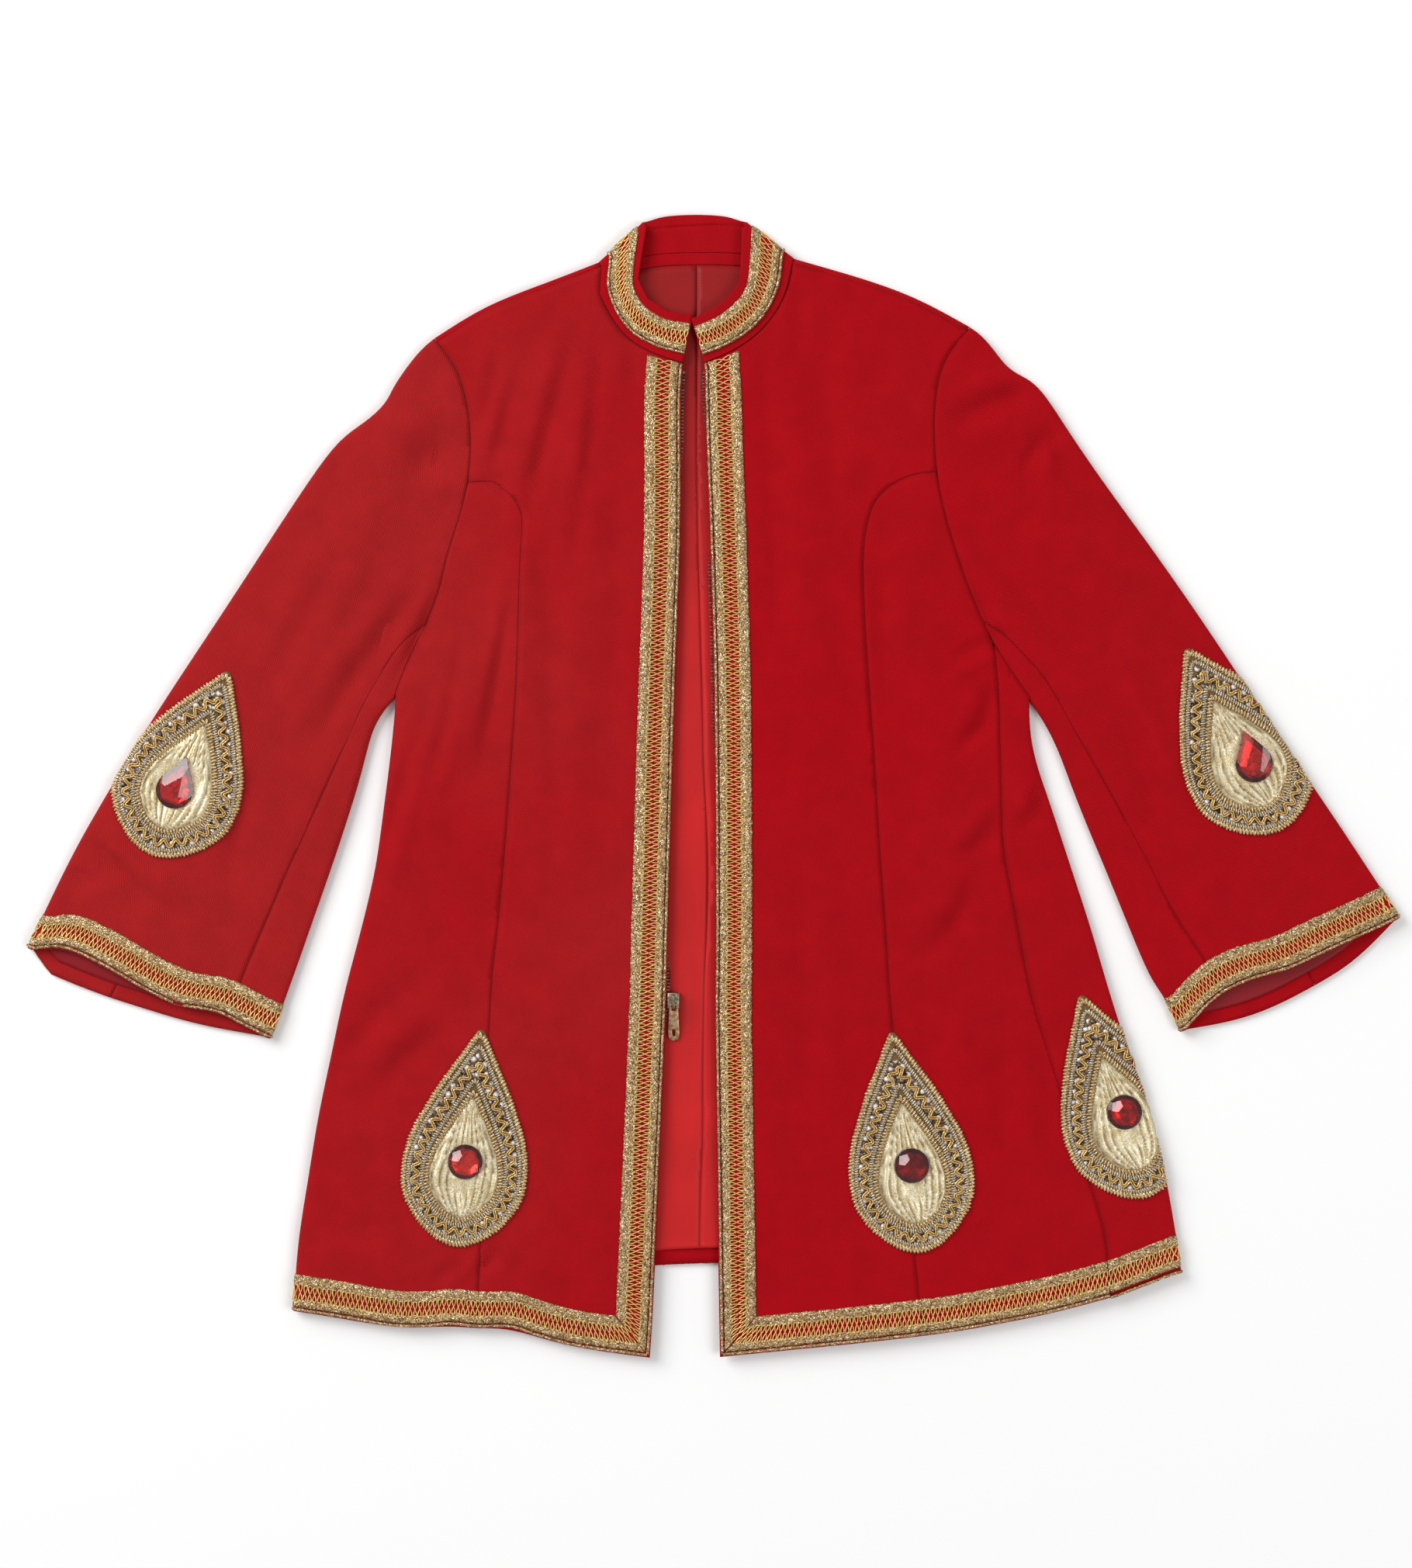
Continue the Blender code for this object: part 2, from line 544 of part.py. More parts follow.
# Side fronts. The right one rolls round its side fold to the seam underneath.
right_side_hem = trace([tuple(right_side_top[-1])] + RIGHT_SIDE_HEM[1:], KINK_STEPS)
right_side_rows = lay(coons(right_princess, right_lower + right_valley[1:] + right_side_top[1:],
                            list(reversed(right_kink)), list(reversed(right_side_hem))), over)
first_fold_row = len(right_lower) + len(right_valley) - 2
for k, row in enumerate(right_side_rows):
    if k < first_fold_row:
        row += [None] * (ARC_STEPS + 1)
    else:
        fold_row = k - first_fold_row
        row[-1] = right_side_arcs[fold_row][0]
        row += right_side_arcs[fold_row][1:] + [beneath(right_under_seam[fold_row])]
wall("right_side_front", right_side_rows, -WALL / 2, WALL / 2, WOOL)

left_side_rows = lay(coons(left_princess, left_lower + left_valley[1:] + left_side_seam[1:],
                           list(reversed(left_kink)), trace(LEFT_SIDE_HEM, KINK_STEPS)), over)
wall("left_side_front", left_side_rows, -WALL / 2, WALL / 2, WOOL)

# Back panel. Its shoulders roll forward to the shoulder seams, and its left side to the side seam.
back_neck = trace([tuple(right_shoulder_arcs[-1][-1].place)] + BACK_NECK[1:-1]
                  + [tuple(left_shoulder_arcs[0][-1].place)], BACK_NECK_STEPS)
right_back[0] = flat(right_shoulder_arcs[0][-1].place)
left_back[0] = flat(left_shoulder_arcs[-1][-1].place)
left_back[-1] = left_side_under[0]
BACK_COLUMNS = 2 * SHOULDER_STEPS + BACK_NECK_STEPS
shoulder_line = ([flat(s[-1].place) for s in right_shoulder_arcs] + back_neck[1:-1]
                 + [flat(s[-1].place) for s in left_shoulder_arcs])
HALF = BACK_COLUMNS // 2


def halves(middle):
    """Fractions along a line that put the back's middle column at the given one."""
    before = [middle * k / HALF for k in range(HALF)]
    return before + [middle + (1 - middle) * k / HALF for k in range(HALF + 1)]


# Where the centre of the back crosses the waist line and the hem, as a fraction from right to left.
WAIST_MIDDLE = 0.478
HEM_MIDDLE = 0.453
waist_line = [right_back[-1].lerp(left_back[-1], u) for u in halves(WAIST_MIDDLE)]
back_hem = trace([tuple(right_under_seam[-1])] + BACK_HEM[1:-1] + [tuple(left_side_under[-1])], BACK_COLUMNS,
                 halves(HEM_MIDDLE))
upper_back = coons(right_back, left_back, shoulder_line, waist_line)
lower_back = coons(right_under_seam, left_side_under, waist_line, back_hem)
back_rows = []
for step in range(ARC_STEPS):
    row = [spots[step] for spots in right_shoulder_arcs] + [None] * (BACK_NECK_STEPS - 1)
    row += [spots[step] for spots in left_shoulder_arcs] + [None] * (ARC_STEPS + TAIL_STEPS)
    back_rows.append(row)
for row in lay(upper_back[:-1], beneath):
    back_rows.append(row + [None] * (ARC_STEPS + TAIL_STEPS))
for k, row in enumerate(lay(lower_back, beneath)):
    rolled = list(reversed(left_side_arcs[k]))
    if k == 0:
        front = list(reversed(left_tail))[1:]
    else:
        front = [left_side_top[k].lerp(left_side_seam[k], n / TAIL_STEPS) for n in range(1, TAIL_STEPS + 1)]
    back_rows.append(row + rolled[1:] + [over(point) for point in front])
wall("back_panel", back_rows, -WALL / 2, WALL / 2, WOOL)


def between(a, b, distance):
    """The spot at a distance from one spot towards another."""
    share = distance / (b.place - a.place).length
    return Spot(a.place.lerp(b.place, share), a.out.lerp(b.out, share).normalized())


# The wool turned in at a cuff, the hem or the neck, before the lining starts.
HEM_FACING = 11.0
NECK_FACING = 9.0
lying = [row[:BACK_COLUMNS + 1] for row in back_rows[ARC_STEPS:]]
facing_edge = [between(a, b, NECK_FACING) for a, b in zip(lying[0], lying[1])]
hem_edge = [between(a, b, HEM_FACING) for a, b in zip(lying[-1], lying[-2])]
neck_columns = slice(SHOULDER_STEPS, SHOULDER_STEPS + BACK_NECK_STEPS + 1)
LINED = (-WALL / 2 - SEAM - LINING, -WALL / 2 - SEAM)
wall("back_neck_facing", [lying[0][neck_columns], facing_edge[neck_columns]], *LINED, WOOL)
lining_rows = [facing_edge] + lying[1:-1] + [hem_edge]
wall("right_back_lining", [row[:HALF + 1] for row in lining_rows], *LINED, SATIN)
wall("left_back_lining", [row[HALF:] for row in lining_rows], *LINED, SATIN)


def sleeve_ring(sections, side, shoulder_arc, apex_arc, armhole_front, armhole_back, cuffs):
    """Rings of a sleeve: upper layer, inner fold, lower layer, outer fold, from armhole to cuff."""
    outer_edge = [flat((s.outer_x, s.outer_y)) for s in sections]
    inner_edge = [flat((s.inner_x, s.inner_y)) for s in sections]
    outer_inward = inward_directions(outer_edge, side)
    inner_inward = inward_directions(inner_edge, -side)
    outer_arcs = [shoulder_arc] + [arc(e, d) for e, d in zip(outer_edge[1:], outer_inward[1:])]
    inner_arcs = [apex_arc] + [arc(e, d) for e, d in zip(inner_edge[1:], inner_inward[1:])]
    outer_top = [flat(spots[0].place) for spots in outer_arcs]
    inner_top = [flat(spots[0].place) for spots in inner_arcs]
    outer_low = [flat(spots[-1].place) for spots in outer_arcs]
    inner_low = [flat(spots[-1].place) for spots in inner_arcs]
    cuff_front = trace([tuple(outer_top[-1])] + cuffs[0][1:-1] + [tuple(inner_top[-1])],
                       len(armhole_front) - 1)
    cuff_back = trace([tuple(outer_low[-1])] + cuffs[1][1:-1] + [tuple(inner_low[-1])],
                      len(armhole_back) - 1)
    front = lay(coons(outer_top, inner_top, armhole_front, cuff_front), over)
    back = lay(coons(outer_low, inner_low, armhole_back, cuff_back), beneath)
    rings = []
    for k in range(len(sections)):
        outer_spots, inner_spots = outer_arcs[k], inner_arcs[k]
        front_row = [outer_spots[0]] + front[k][1:-1]
        back_row = [inner_spots[-1]] + list(reversed(back[k]))[1:-1]
        rings.append(front_row + inner_spots[:-1] + back_row + list(reversed(outer_spots))[:-1])
    return rings


right_rings = sleeve_ring(RIGHT_SLEEVE, 1, right_shoulder_arcs[0], right_side_arcs[0],
                          right_upper + right_lower[1:] + right_valley[1:],
                          right_back + [right_side_under[0]], (RIGHT_CUFF_FRONT, RIGHT_CUFF_BACK))
left_rings = sleeve_ring(LEFT_SLEEVE, -1, left_shoulder_arcs[-1], left_side_arcs[0],
                         left_upper + left_lower[1:] + left_valley[1:] + left_tail[1:],
                         left_back, (LEFT_CUFF_FRONT, LEFT_CUFF_BACK))


def sleeve_pieces(side, rings, front_count, seam_column, back_seam):
    """Cut a sleeve's rings into the upper sleeve and the under sleeve."""
    count = len(rings[0])
    under = [ring[seam_column:back_seam + 1] for ring in rings]
    upper = [ring[back_seam:count] + ring[:seam_column + 1] for ring in rings]
    wall(side + "_upper_sleeve", upper, -WALL / 2, WALL / 2, WOOL)
    wall(side + "_under_sleeve", under, -WALL / 2, WALL / 2, WOOL)
    mouth = rings[-1] + rings[-1][:1]
    behind = rings[-2] + rings[-2][:1]
    braid(side + "_cuff_braid", mouth[:-1], behind[:-1], closed=True)
    columns = range(front_count + ARC_STEPS, count - ARC_STEPS + 1)
    lining_start = [between(rings[-1][j], rings[-2][j], HEM_FACING) for j in columns]
    cuff_lining = [lining_start, [rings[-2][j] for j in columns], [rings[-3][j] for j in columns]]
    wall(side + "_sleeve_lining", cuff_lining, *LINED, SATIN)


# Columns of the rings at each sleeve's front seam and back seam, counted from its inner fold.
right_front_count = sum(ARMHOLE_STEPS)
left_front_count = sum(ARMHOLE_STEPS) + TAIL_STEPS
RIGHT_SEAM_COLUMNS = (-2, ARC_STEPS + 5)
LEFT_SEAM_COLUMNS = (-3, ARC_STEPS + 4)
sleeve_pieces("right", right_rings, right_front_count, right_front_count + RIGHT_SEAM_COLUMNS[0],
              right_front_count + RIGHT_SEAM_COLUMNS[1])
sleeve_pieces("left", left_rings, left_front_count, left_front_count + LEFT_SEAM_COLUMNS[0],
              left_front_count + LEFT_SEAM_COLUMNS[1])

# Stand collar: a band from the neck seam to its top edge, rolled over at both sides.
Stand = namedtuple("Stand", "x y z")
RIGHT_COLLAR_TOP = [Stand(-48.2, 406.6, 10.2), Stand(-51.5, 386, 11.6), Stand(-54.3, 368, 12),
                    Stand(-47.5, 354.3, 11.4), Stand(-33.3, 345, 10.2), Stand(-14.7, 342.4, 9.2)]
LEFT_COLLAR_TOP = [Stand(21.2, 406.6, 10.2), Stand(20.5, 386, 11.6), Stand(19.4, 367, 12),
                   Stand(12.4, 356, 11.4), Stand(0, 346.2, 10.2), Stand(-16, 339.4, 9.2)]
BACK_COLLAR_TOP = [(-46.5, 411.8), (-37, 415.3), (-12.7, 416.6), (11, 415.4), (20, 411.8)]
RIGHT_COLLAR_FOLD = (-50.6, 409.2)
LEFT_COLLAR_FOLD = (24.0, 409.2)
COLLAR_UNDER = BRAID_ROOM + COLLAR_WALL / 2
COLLAR_COLUMNS = 4


def collar_arc(neck_arc, start, edge, end):
    """Top-edge places round a side of the collar, one for each spot of the neck's arc below.

    They run from the start, on the upper layer, round the fold's edge to the end on the lower layer.
    """
    middle, half = (start.z + COLLAR_UNDER) / 2, (start.z - COLLAR_UNDER) / 2
    places = []
    for k in range(len(neck_arc)):
        turn = math.pi * k / ARC_STEPS
        near = start if 2 * k < ARC_STEPS else end
        place = flat((near.x, near.y)).lerp(flat(edge), math.sin(turn))
        place.z = middle + half * math.cos(turn)
        places.append(place)
    return places


right_neck_arc = right_shoulder_arcs[-1]
left_neck_arc = left_shoulder_arcs[0]
right_neck_spots = [over(p) for p in right_neck]
left_neck_spots = [over(p) for p in left_neck]
back_neck_spots = [beneath(p) for p in back_neck]
back_top = [Vector((x, y, COLLAR_UNDER)) for x, y in BACK_COLLAR_TOP]
right_top_arc = collar_arc(right_neck_arc, RIGHT_COLLAR_TOP[0], RIGHT_COLLAR_FOLD, back_top[0])
left_top_arc = collar_arc(left_neck_arc, LEFT_COLLAR_TOP[0], LEFT_COLLAR_FOLD, back_top[-1])
neck_loop = (list(reversed(right_neck_spots)) + right_neck_arc[1:] + back_neck_spots[1:-1]
             + list(reversed(left_neck_arc))[:-1] + left_neck_spots)
top_loop = ([Vector(s) for s in reversed(RIGHT_COLLAR_TOP[1:])] + right_top_arc + back_top[1:-1]
            + list(reversed(left_top_arc)) + [Vector(s) for s in LEFT_COLLAR_TOP[1:]])
neck_places = []
for k, spot in enumerate(neck_loop):
    place = spot.place.copy()
    place.z = max(place.z, COLLAR_UNDER)
    neck_places.append(place)
collar_grid = []
for k, (low, high) in enumerate(zip(neck_places, top_loop)):
    row = []
    before, after = max(k - 1, 0), min(k + 1, len(top_loop) - 1)
    for n in range(COLLAR_COLUMNS + 1):
        share = n / COLLAR_COLUMNS
        run = (neck_places[after].lerp(top_loop[after], share)
               - neck_places[before].lerp(top_loop[before], share))
        out = run.cross(high - low).normalized()
        row.append(Spot(low.lerp(high, share), -out))
    collar_grid.append(row)
wall("collar", collar_grid, -COLLAR_WALL / 2, COLLAR_WALL / 2, WOOL)

# The braid runs round the middle of the collar, between these shares of its height.
COLLAR_BRAID_ROOM = (0.16, 0.84)


def part_way(row, share):
    low, high = row[0], row[-1]
    return Spot(low.place.lerp(high.place, share), low.out.lerp(high.out, share).normalized())


braid("collar_braid", [part_way(row, COLLAR_BRAID_ROOM[0]) for row in collar_grid],
      [part_way(row, COLLAR_BRAID_ROOM[1]) for row in collar_grid], COLLAR_WALL, squeezed=True)

# Braid on the front edges and round the hem, mitred at the front corners, and the zip's two sides.
INSIDE = Vector((BRAID_ZONE, 0, 0))
TAPE_WIDTH = 14.0
ZIP = [Across(TAPE_WIDTH, -1.9, -1.1), Across(-0.2, -1.9, -1.1), Across(-0.5, -2.6, 0.2),
       Across(-2.6, -2.6, 0.2)]
# How far the zip's chain reaches past the front edge, as (y, reach): least where the edge hides it.
CHAIN = {"right": [(307, 2.6), (250, 2.4), (222, 0.9), (-110, 0.9), (-146, 2.6), (-190, 0.9), (-420, 0.9)],
         "left": [(307, 2.6), (275, 2.2), (250, 0.9), (175, 1.2), (160, 2.4), (40, 2.4), (10, 0.9),
                  (-420, 0.9)]}


def chain_reach(side, y):
    for (high, reach), (low, next_reach) in zip(CHAIN[side], CHAIN[side][1:]):
        if y >= low:
            return next_reach + (reach - next_reach) * min(1.0, (y - low) / (high - low))
    return CHAIN[side][-1][1]


right_hem = list(reversed(right_centre[-1])) + right_side_rows[-1][1:]
right_hem_inside = list(reversed(right_centre[-2])) + right_side_rows[-2][1:]
left_hem = list(reversed(left_centre[-1])) + left_side_rows[-1][1:]
left_hem_inside = list(reversed(left_centre[-2])) + left_side_rows[-2][1:]
for side, sign, edge_line, hem, hem_inside in (
        ("right", -1, right_front_edge[::2], right_hem, right_hem_inside),
        ("left", 1, left_front_edge[::2], left_hem, left_hem_inside)):
    edge_spots = [over(p) for p in edge_line]
    inside_spots = [over(p + INSIDE * sign) for p in edge_line]
    run = hem[1].place - hem[0].place
    mitre = Vector((sign, 1 + run.y / abs(run.x), 0))
    braid(side + "_front_braid", edge_spots, inside_spots, mitre=mitre, mitre_row=-1)
    braid(side + "_hem_braid", hem, hem_inside, mitre=mitre)
    tape = strip(edge_spots[:-1], inside_spots[:-1], ZIP)
    for row in tape:
        reach = chain_reach(side, row[-1].place.y)
        row[-1] = Spot(row[-1].place + flat((sign * (-ZIP[-1].width - reach), 0)), row[-1].out)
    wall(side + "_zip_tape", tape, [across.inner for across in ZIP], [across.outer for across in ZIP], STEEL)
braid("back_hem_braid", back_rows[-1], back_rows[-2])

# Patches: a teardrop plate of gimp rings round a gathered centre, cut and rolled where it meets a fold.
Ring = namedtuple("Ring", "inset height gather")
PATCH_RINGS = [Ring(0.4, 0.9, 0.0), Ring(3.5, 1.6, 0.0), Ring(7.0, 0.9, 0.0),
               Ring(15.0, 0.8, 0.0), Ring(18.0, 1.6, 0.0), Ring(21.0, 1.1, 0.0), Ring(25.0, 1.3, 0.3),
               Ring(34.0, 1.3, 0.25)]
PATCH_TOP = 1.6
PATCH_BASE = WALL / 2 + SEAM + 0.1
PATCH_MIDDLE = 20.0
# Half an outline, as (share of the length from the tip, share of the widest half width).
DROP_SIDE = [(0.012, 0.07), (0.075, 0.155), (0.157, 0.36), (0.25, 0.545), (0.345, 0.71), (0.44, 0.865),
             (0.54, 0.965), (0.64, 1.0), (0.75, 0.95), (0.85, 0.8), (0.935, 0.54), (0.983, 0.28)]
PEAR_SIDE = [(0.02, 0.16), (0.1, 0.28), (0.2, 0.45), (0.3, 0.62), (0.4, 0.78), (0.5, 0.9), (0.6, 0.98),
             (0.68, 1.0), (0.78, 0.93), (0.87, 0.78), (0.94, 0.56), (0.985, 0.29)]


def teardrop(shape, inset=0.0, half=DROP_SIDE):
    """Places round a teardrop: its tip, one side, the round end and the other side."""
    share = (shape.radius - inset) / shape.radius
    radius, tip = shape.radius * share, shape.tip * share
    side = [Vector((radius * width, tip - (tip + radius) * along, 0)) for along, width in half]
    places = [Vector((0, tip, 0))] + side + [Vector((0, -radius, 0))]
    places += [Vector((-place.x, place.y, 0)) for place in reversed(side)]
    lean = math.radians(shape.lean)
    turned = []
    for place in places:
        turned.append(Vector((shape.x + place.x * math.cos(lean) - place.y * math.sin(lean),
                              shape.y + place.x * math.sin(lean) + place.y * math.cos(lean), 0)))
    return turned


def lofted(loops, top_centre, bottom_centre=None):
    """A closed solid through loops of as many places each, from its foot to its top.

    Each end is closed by a fan round its centre, or by one face where no centre is given.
    """
    bm = bmesh.new()
    rings = [[bm.verts.new(place) for place in loop] for loop in loops]
    count = len(rings[0])
    for low, high in zip(rings, rings[1:]):
        for k in range(count):
            bm.faces.new([low[k], low[(k + 1) % count], high[(k + 1) % count], high[k]])
    for ring, middle in ((rings[-1], top_centre), (rings[0], bottom_centre)):
        if middle is None:
            bm.faces.new(ring)
            continue
        peak = bm.verts.new(middle)
        for k in range(count):
            bm.faces.new([ring[k], ring[(k + 1) % count], peak])
    bmesh.ops.recalc_face_normals(bm, faces=bm.faces)
    return bm


def opened(row, top):
    """Flat places of a row of spots that rolls round a fold, as the cloth lies when it is opened out.

    The fold's upper spot is the one at the index top, and the rest of the fold comes before it.
    """
    fold = row[top - ARC_STEPS:top + 1]
    inward = -flat(fold[ARC_STEPS // 2].out)
    tangent = flat(fold[-1].place)
    travel = 0.0
    places = [flat(spot.place) for spot in reversed(row[top:])]
    for near, far in zip(reversed(fold), reversed(fold[:-1])):
        travel += (far.place - near.place).length
        places.append(tangent - inward * travel)
    for spot in reversed(row[:top - ARC_STEPS]):
        away = flat(spot.place - fold[0].place)
        places.append(tangent + away - inward * (travel + 2 * away.dot(inward)))
    return list(reversed(places))


class Carrier:
    """Cloth that trim lies on: grids of its spots, with their places when it is opened out flat."""

    def __init__(self, *grids):
        self.cells = []
        for spots, places in grids:
            for i in range(len(spots) - 1):
                for j in range(len(spots[i]) - 1):
                    a, b, c, d = ((places[m][n], spots[m][n])
                                  for m, n in ((i, j), (i + 1, j), (i + 1, j + 1), (i, j + 1)))
                    self.cells += [(a, b, c), (a, c, d)]

    def place(self, x, y, height):
        """Where a place of the flat cut comes to lie, at a height above the middle of the cloth."""
        best = None
        for (a, spot_a), (b, spot_b), (c, spot_c) in self.cells:
            area = (b.x - a.x) * (c.y - a.y) - (b.y - a.y) * (c.x - a.x)
            share_b = ((x - a.x) * (c.y - a.y) - (y - a.y) * (c.x - a.x)) / area
            share_c = ((b.x - a.x) * (y - a.y) - (b.y - a.y) * (x - a.x)) / area
            least = min(1 - share_b - share_c, share_b, share_c)
            if best is None or least > best[0]:
                best = (least, [(spot_a, 1 - share_b - share_c), (spot_b, share_b), (spot_c, share_c)])
        return sum(((spot.place + spot.out * height) * share for spot, share in best[1]), Vector())


def cut_at_fold(bm, rows):
    """Cut a flat mesh where a fold bends it. Each row holds the flat places of one row round the fold."""
    def cut(faces, place, run):
        edges = {edge for face in faces for edge in face.edges}
        verts = {vert for face in faces for vert in face.verts}
        bmesh.ops.bisect_plane(bm, geom=list(faces) + list(edges) + list(verts), dist=1e-4,
                               plane_co=place, plane_no=Vector((-run.y, run.x, 0)).normalized())

    def side(row, face):
        run = row[0] - row[-1]
        away = face.calc_center_median() - row[-1]
        return run.x * away.y - run.y * away.x

    for row in rows:
        run = row[0] - row[-1]
        cut([face for face in bm.faces if (face.calc_center_median() - row[-1]).dot(run) > 0], row[-1], run)
    for low, high in zip(rows, rows[1:]):
        for a, b in zip(low, high):
            cut([face for face in bm.faces if side(low, face) * side(high, face) < 0], a, b - a)


def patch(name, shape, carrier=None, fold_rows=()):
    loops = [teardrop(shape, PATCH_MIDDLE), teardrop(shape)]
    for ring in PATCH_RINGS:
        loop = teardrop(shape, ring.inset)
        for k, place in enumerate(loop):
            place.z = ring.height + (ring.gather if k % 2 else -ring.gather)
        loops.append(loop)
    bm = lofted(loops, Vector((shape.x, shape.y, PATCH_TOP)), Vector((shape.x, shape.y, 0)))
    cut_at_fold(bm, fold_rows)
    bmesh.ops.triangulate(bm, faces=bm.faces)
    for vert in bm.verts:
        height = PATCH_BASE + vert.co.z
        if carrier is None:
            spot = over(vert.co)
            vert.co = spot.place + spot.out * height
        else:
            vert.co = carrier.place(vert.co.x, vert.co.y, height)
            vert.co.z = max(vert.co.z, 0.0)
    return finish_object(name, bm, PATCH_GOLD)


# Rows of the left side and of the sleeves from here on bend the patches that lie across their folds.
FIRST_BENT_ROW = 7
SLEEVE_BACK_COLUMNS = 3
FOLD_BAND = slice(0, ARC_STEPS + 1)
side_rows = range(len(left_side_arcs))
wrapped_side = [back_rows[k - len(left_side_arcs)][BACK_COLUMNS - 1:] for k in side_rows]
wrapped_side_flats = [opened(row, ARC_STEPS + 1) for row in wrapped_side]
left_side_flats = [[flat(spot.place) for spot in row] for row in left_side_rows]
left_side_carrier = Carrier((wrapped_side, wrapped_side_flats), (left_side_rows, left_side_flats))
patch("right_hem_patch", RIGHT_HEM_PATCH)
patch("left_hem_patch", LEFT_HEM_PATCH)
patch("left_side_patch", LEFT_SIDE_PATCH, left_side_carrier,
      [row[1:][FOLD_BAND] for row in wrapped_side_flats[FIRST_BENT_ROW:]])
for name, shape, rings, column in (("right_sleeve_patch", RIGHT_SLEEVE_PATCH, right_rings, right_front_count),
                                   ("left_sleeve_patch", LEFT_SLEEVE_PATCH, left_rings, left_front_count)):
    rows = [ring[-ARC_STEPS - SLEEVE_BACK_COLUMNS:] + ring[:column] for ring in rings[FIRST_BENT_ROW:]]
    flats = [opened(row, ARC_STEPS + SLEEVE_BACK_COLUMNS) for row in rows]
    patch(name, shape, Carrier((rows, flats)), [row[SLEEVE_BACK_COLUMNS:][FOLD_BAND] for row in flats])

# Jewels: cut-glass domes with a flat foot, on the middle of the patches.
JEWEL_LEVELS = [(1.0, 0.0), (1.0, 1.3), (0.76, 3.8), (0.4, 5.4)]
JEWEL_HEIGHT = 5.8
ROUND_JEWEL = 12.5
JEWEL_SIDES = 12
ROUND_JEWELS = {"right_hem_jewel": (-180.2, -274), "left_hem_jewel": (144.6, -276.8),
                "left_side_jewel": (299.4, -237.9)}
PEAR_JEWELS = {"right_sleeve_jewel": Teardrop(-391.5, -3.5, 13.5, 25.5, -20.5),
               "left_sleeve_jewel": Teardrop(393.5, 15.5, 13.5, 25.5, 17.6)}


def jewel(name, outline, x, y):
    foot = over((x, y)).place.z + WALL / 2 + SEAM + 0.1 + PATCH_TOP + SEAM
    middle = Vector((x, y, 0))
    loops = [[middle + (place - middle) * share + Vector((0, 0, foot + height)) for place in outline]
             for share, height in JEWEL_LEVELS]
    bm = lofted(loops, Vector((x, y, foot + JEWEL_HEIGHT)))
    return finish_object(name, bm, RUBY)


for name, (x, y) in ROUND_JEWELS.items():
    turns = [2 * math.pi * k / JEWEL_SIDES for k in range(JEWEL_SIDES)]
    circle = [Vector((x + ROUND_JEWEL * math.cos(turn), y + ROUND_JEWEL * math.sin(turn), 0)) for turn in turns]
    jewel(name, circle, x, y)
for name, shape in PEAR_JEWELS.items():
    jewel(name, teardrop(shape, half=PEAR_SIDE), shape.x, shape.y)

# Zip slider and its pull tab, on the right front edge. The pull's bar turns under the slider's crown.
SLIDER_X = -28.6
SLIDER_Y = (-162.8, -151.2)
SLIDER_HALF_WIDTH = 4.5
SLIDER_GAP = (4.5, 8.2)
SLIDER_PLATE = 1.2
SLIDER_BRIDGE = 3.2
CROWN_WIDTH = 2.0
CROWN_LEG = 1.1
CROWN_WINDOW = 2.9
CROWN_TOP = 1.0
PIVOT = Vector((SLIDER_X, -159.9, SLIDER_GAP[1] + SLIDER_PLATE + 1.5))
PULL_TILT = 13.0
PULL_LENGTH = 27.0
PULL_THICKNESS = 1.2


def extruded(name, outlines, half_depth, finish, collection):
    """A flat outline, with holes where it has more than one loop, given its thickness as a mesh."""
    outline = bpy.data.curves.new(name, "CURVE")
    outline.dimensions = "2D"
    outline.fill_mode = "BOTH"
    outline.extrude = half_depth * MM
    for loop in outlines:
        spline = outline.splines.new("POLY")
        spline.points.add(len(loop) - 1)
        for point, (x, y) in zip(spline.points, loop):
            point.co = (x * MM, y * MM, 0, 1)
        spline.use_cyclic_u = True
    guide = bpy.data.objects.new(name, outline)
    bpy.context.scene.collection.objects.link(guide)
    evaluated = guide.evaluated_get(bpy.context.evaluated_depsgraph_get())
    mesh = bpy.data.meshes.new_from_object(evaluated)
    bpy.data.objects.remove(guide)
    bpy.data.curves.remove(outline)
    bm = bmesh.new()
    bm.from_mesh(mesh)
    bmesh.ops.remove_doubles(bm, verts=bm.verts, dist=1e-6)
    bmesh.ops.recalc_face_normals(bm, faces=bm.faces)
    bm.to_mesh(mesh)
    bm.free()
    mesh.materials.clear()
    mesh.materials.append(finish)
    solid = bpy.data.objects.new(name, mesh)
    collection.objects.link(solid)
    return solid


half = SLIDER_HALF_WIDTH
low, high = SLIDER_GAP
slider_profile = [(-half, low - SLIDER_PLATE), (half - 0.8, low - SLIDER_PLATE), (half, low - SLIDER_PLATE + 0.8),
                  (half, high + SLIDER_PLATE - 0.8), (half - 0.8, high + SLIDER_PLATE),
                  (-half, high + SLIDER_PLATE), (-half, high), (half - SLIDER_BRIDGE, high),
                  (half - SLIDER_BRIDGE, low), (-half, low)]
slider = extruded("zip_slider", [slider_profile], (SLIDER_Y[1] - SLIDER_Y[0]) / 2, STEEL, PARTS)
slider.rotation_euler = (math.pi / 2, 0, 0)
slider.location = (SLIDER_X * MM, sum(SLIDER_Y) / 2 * MM, 0)
plate_top = high + SLIDER_PLATE
crown_ends = (SLIDER_Y[0] + 0.3, SLIDER_Y[1] - 1.6)
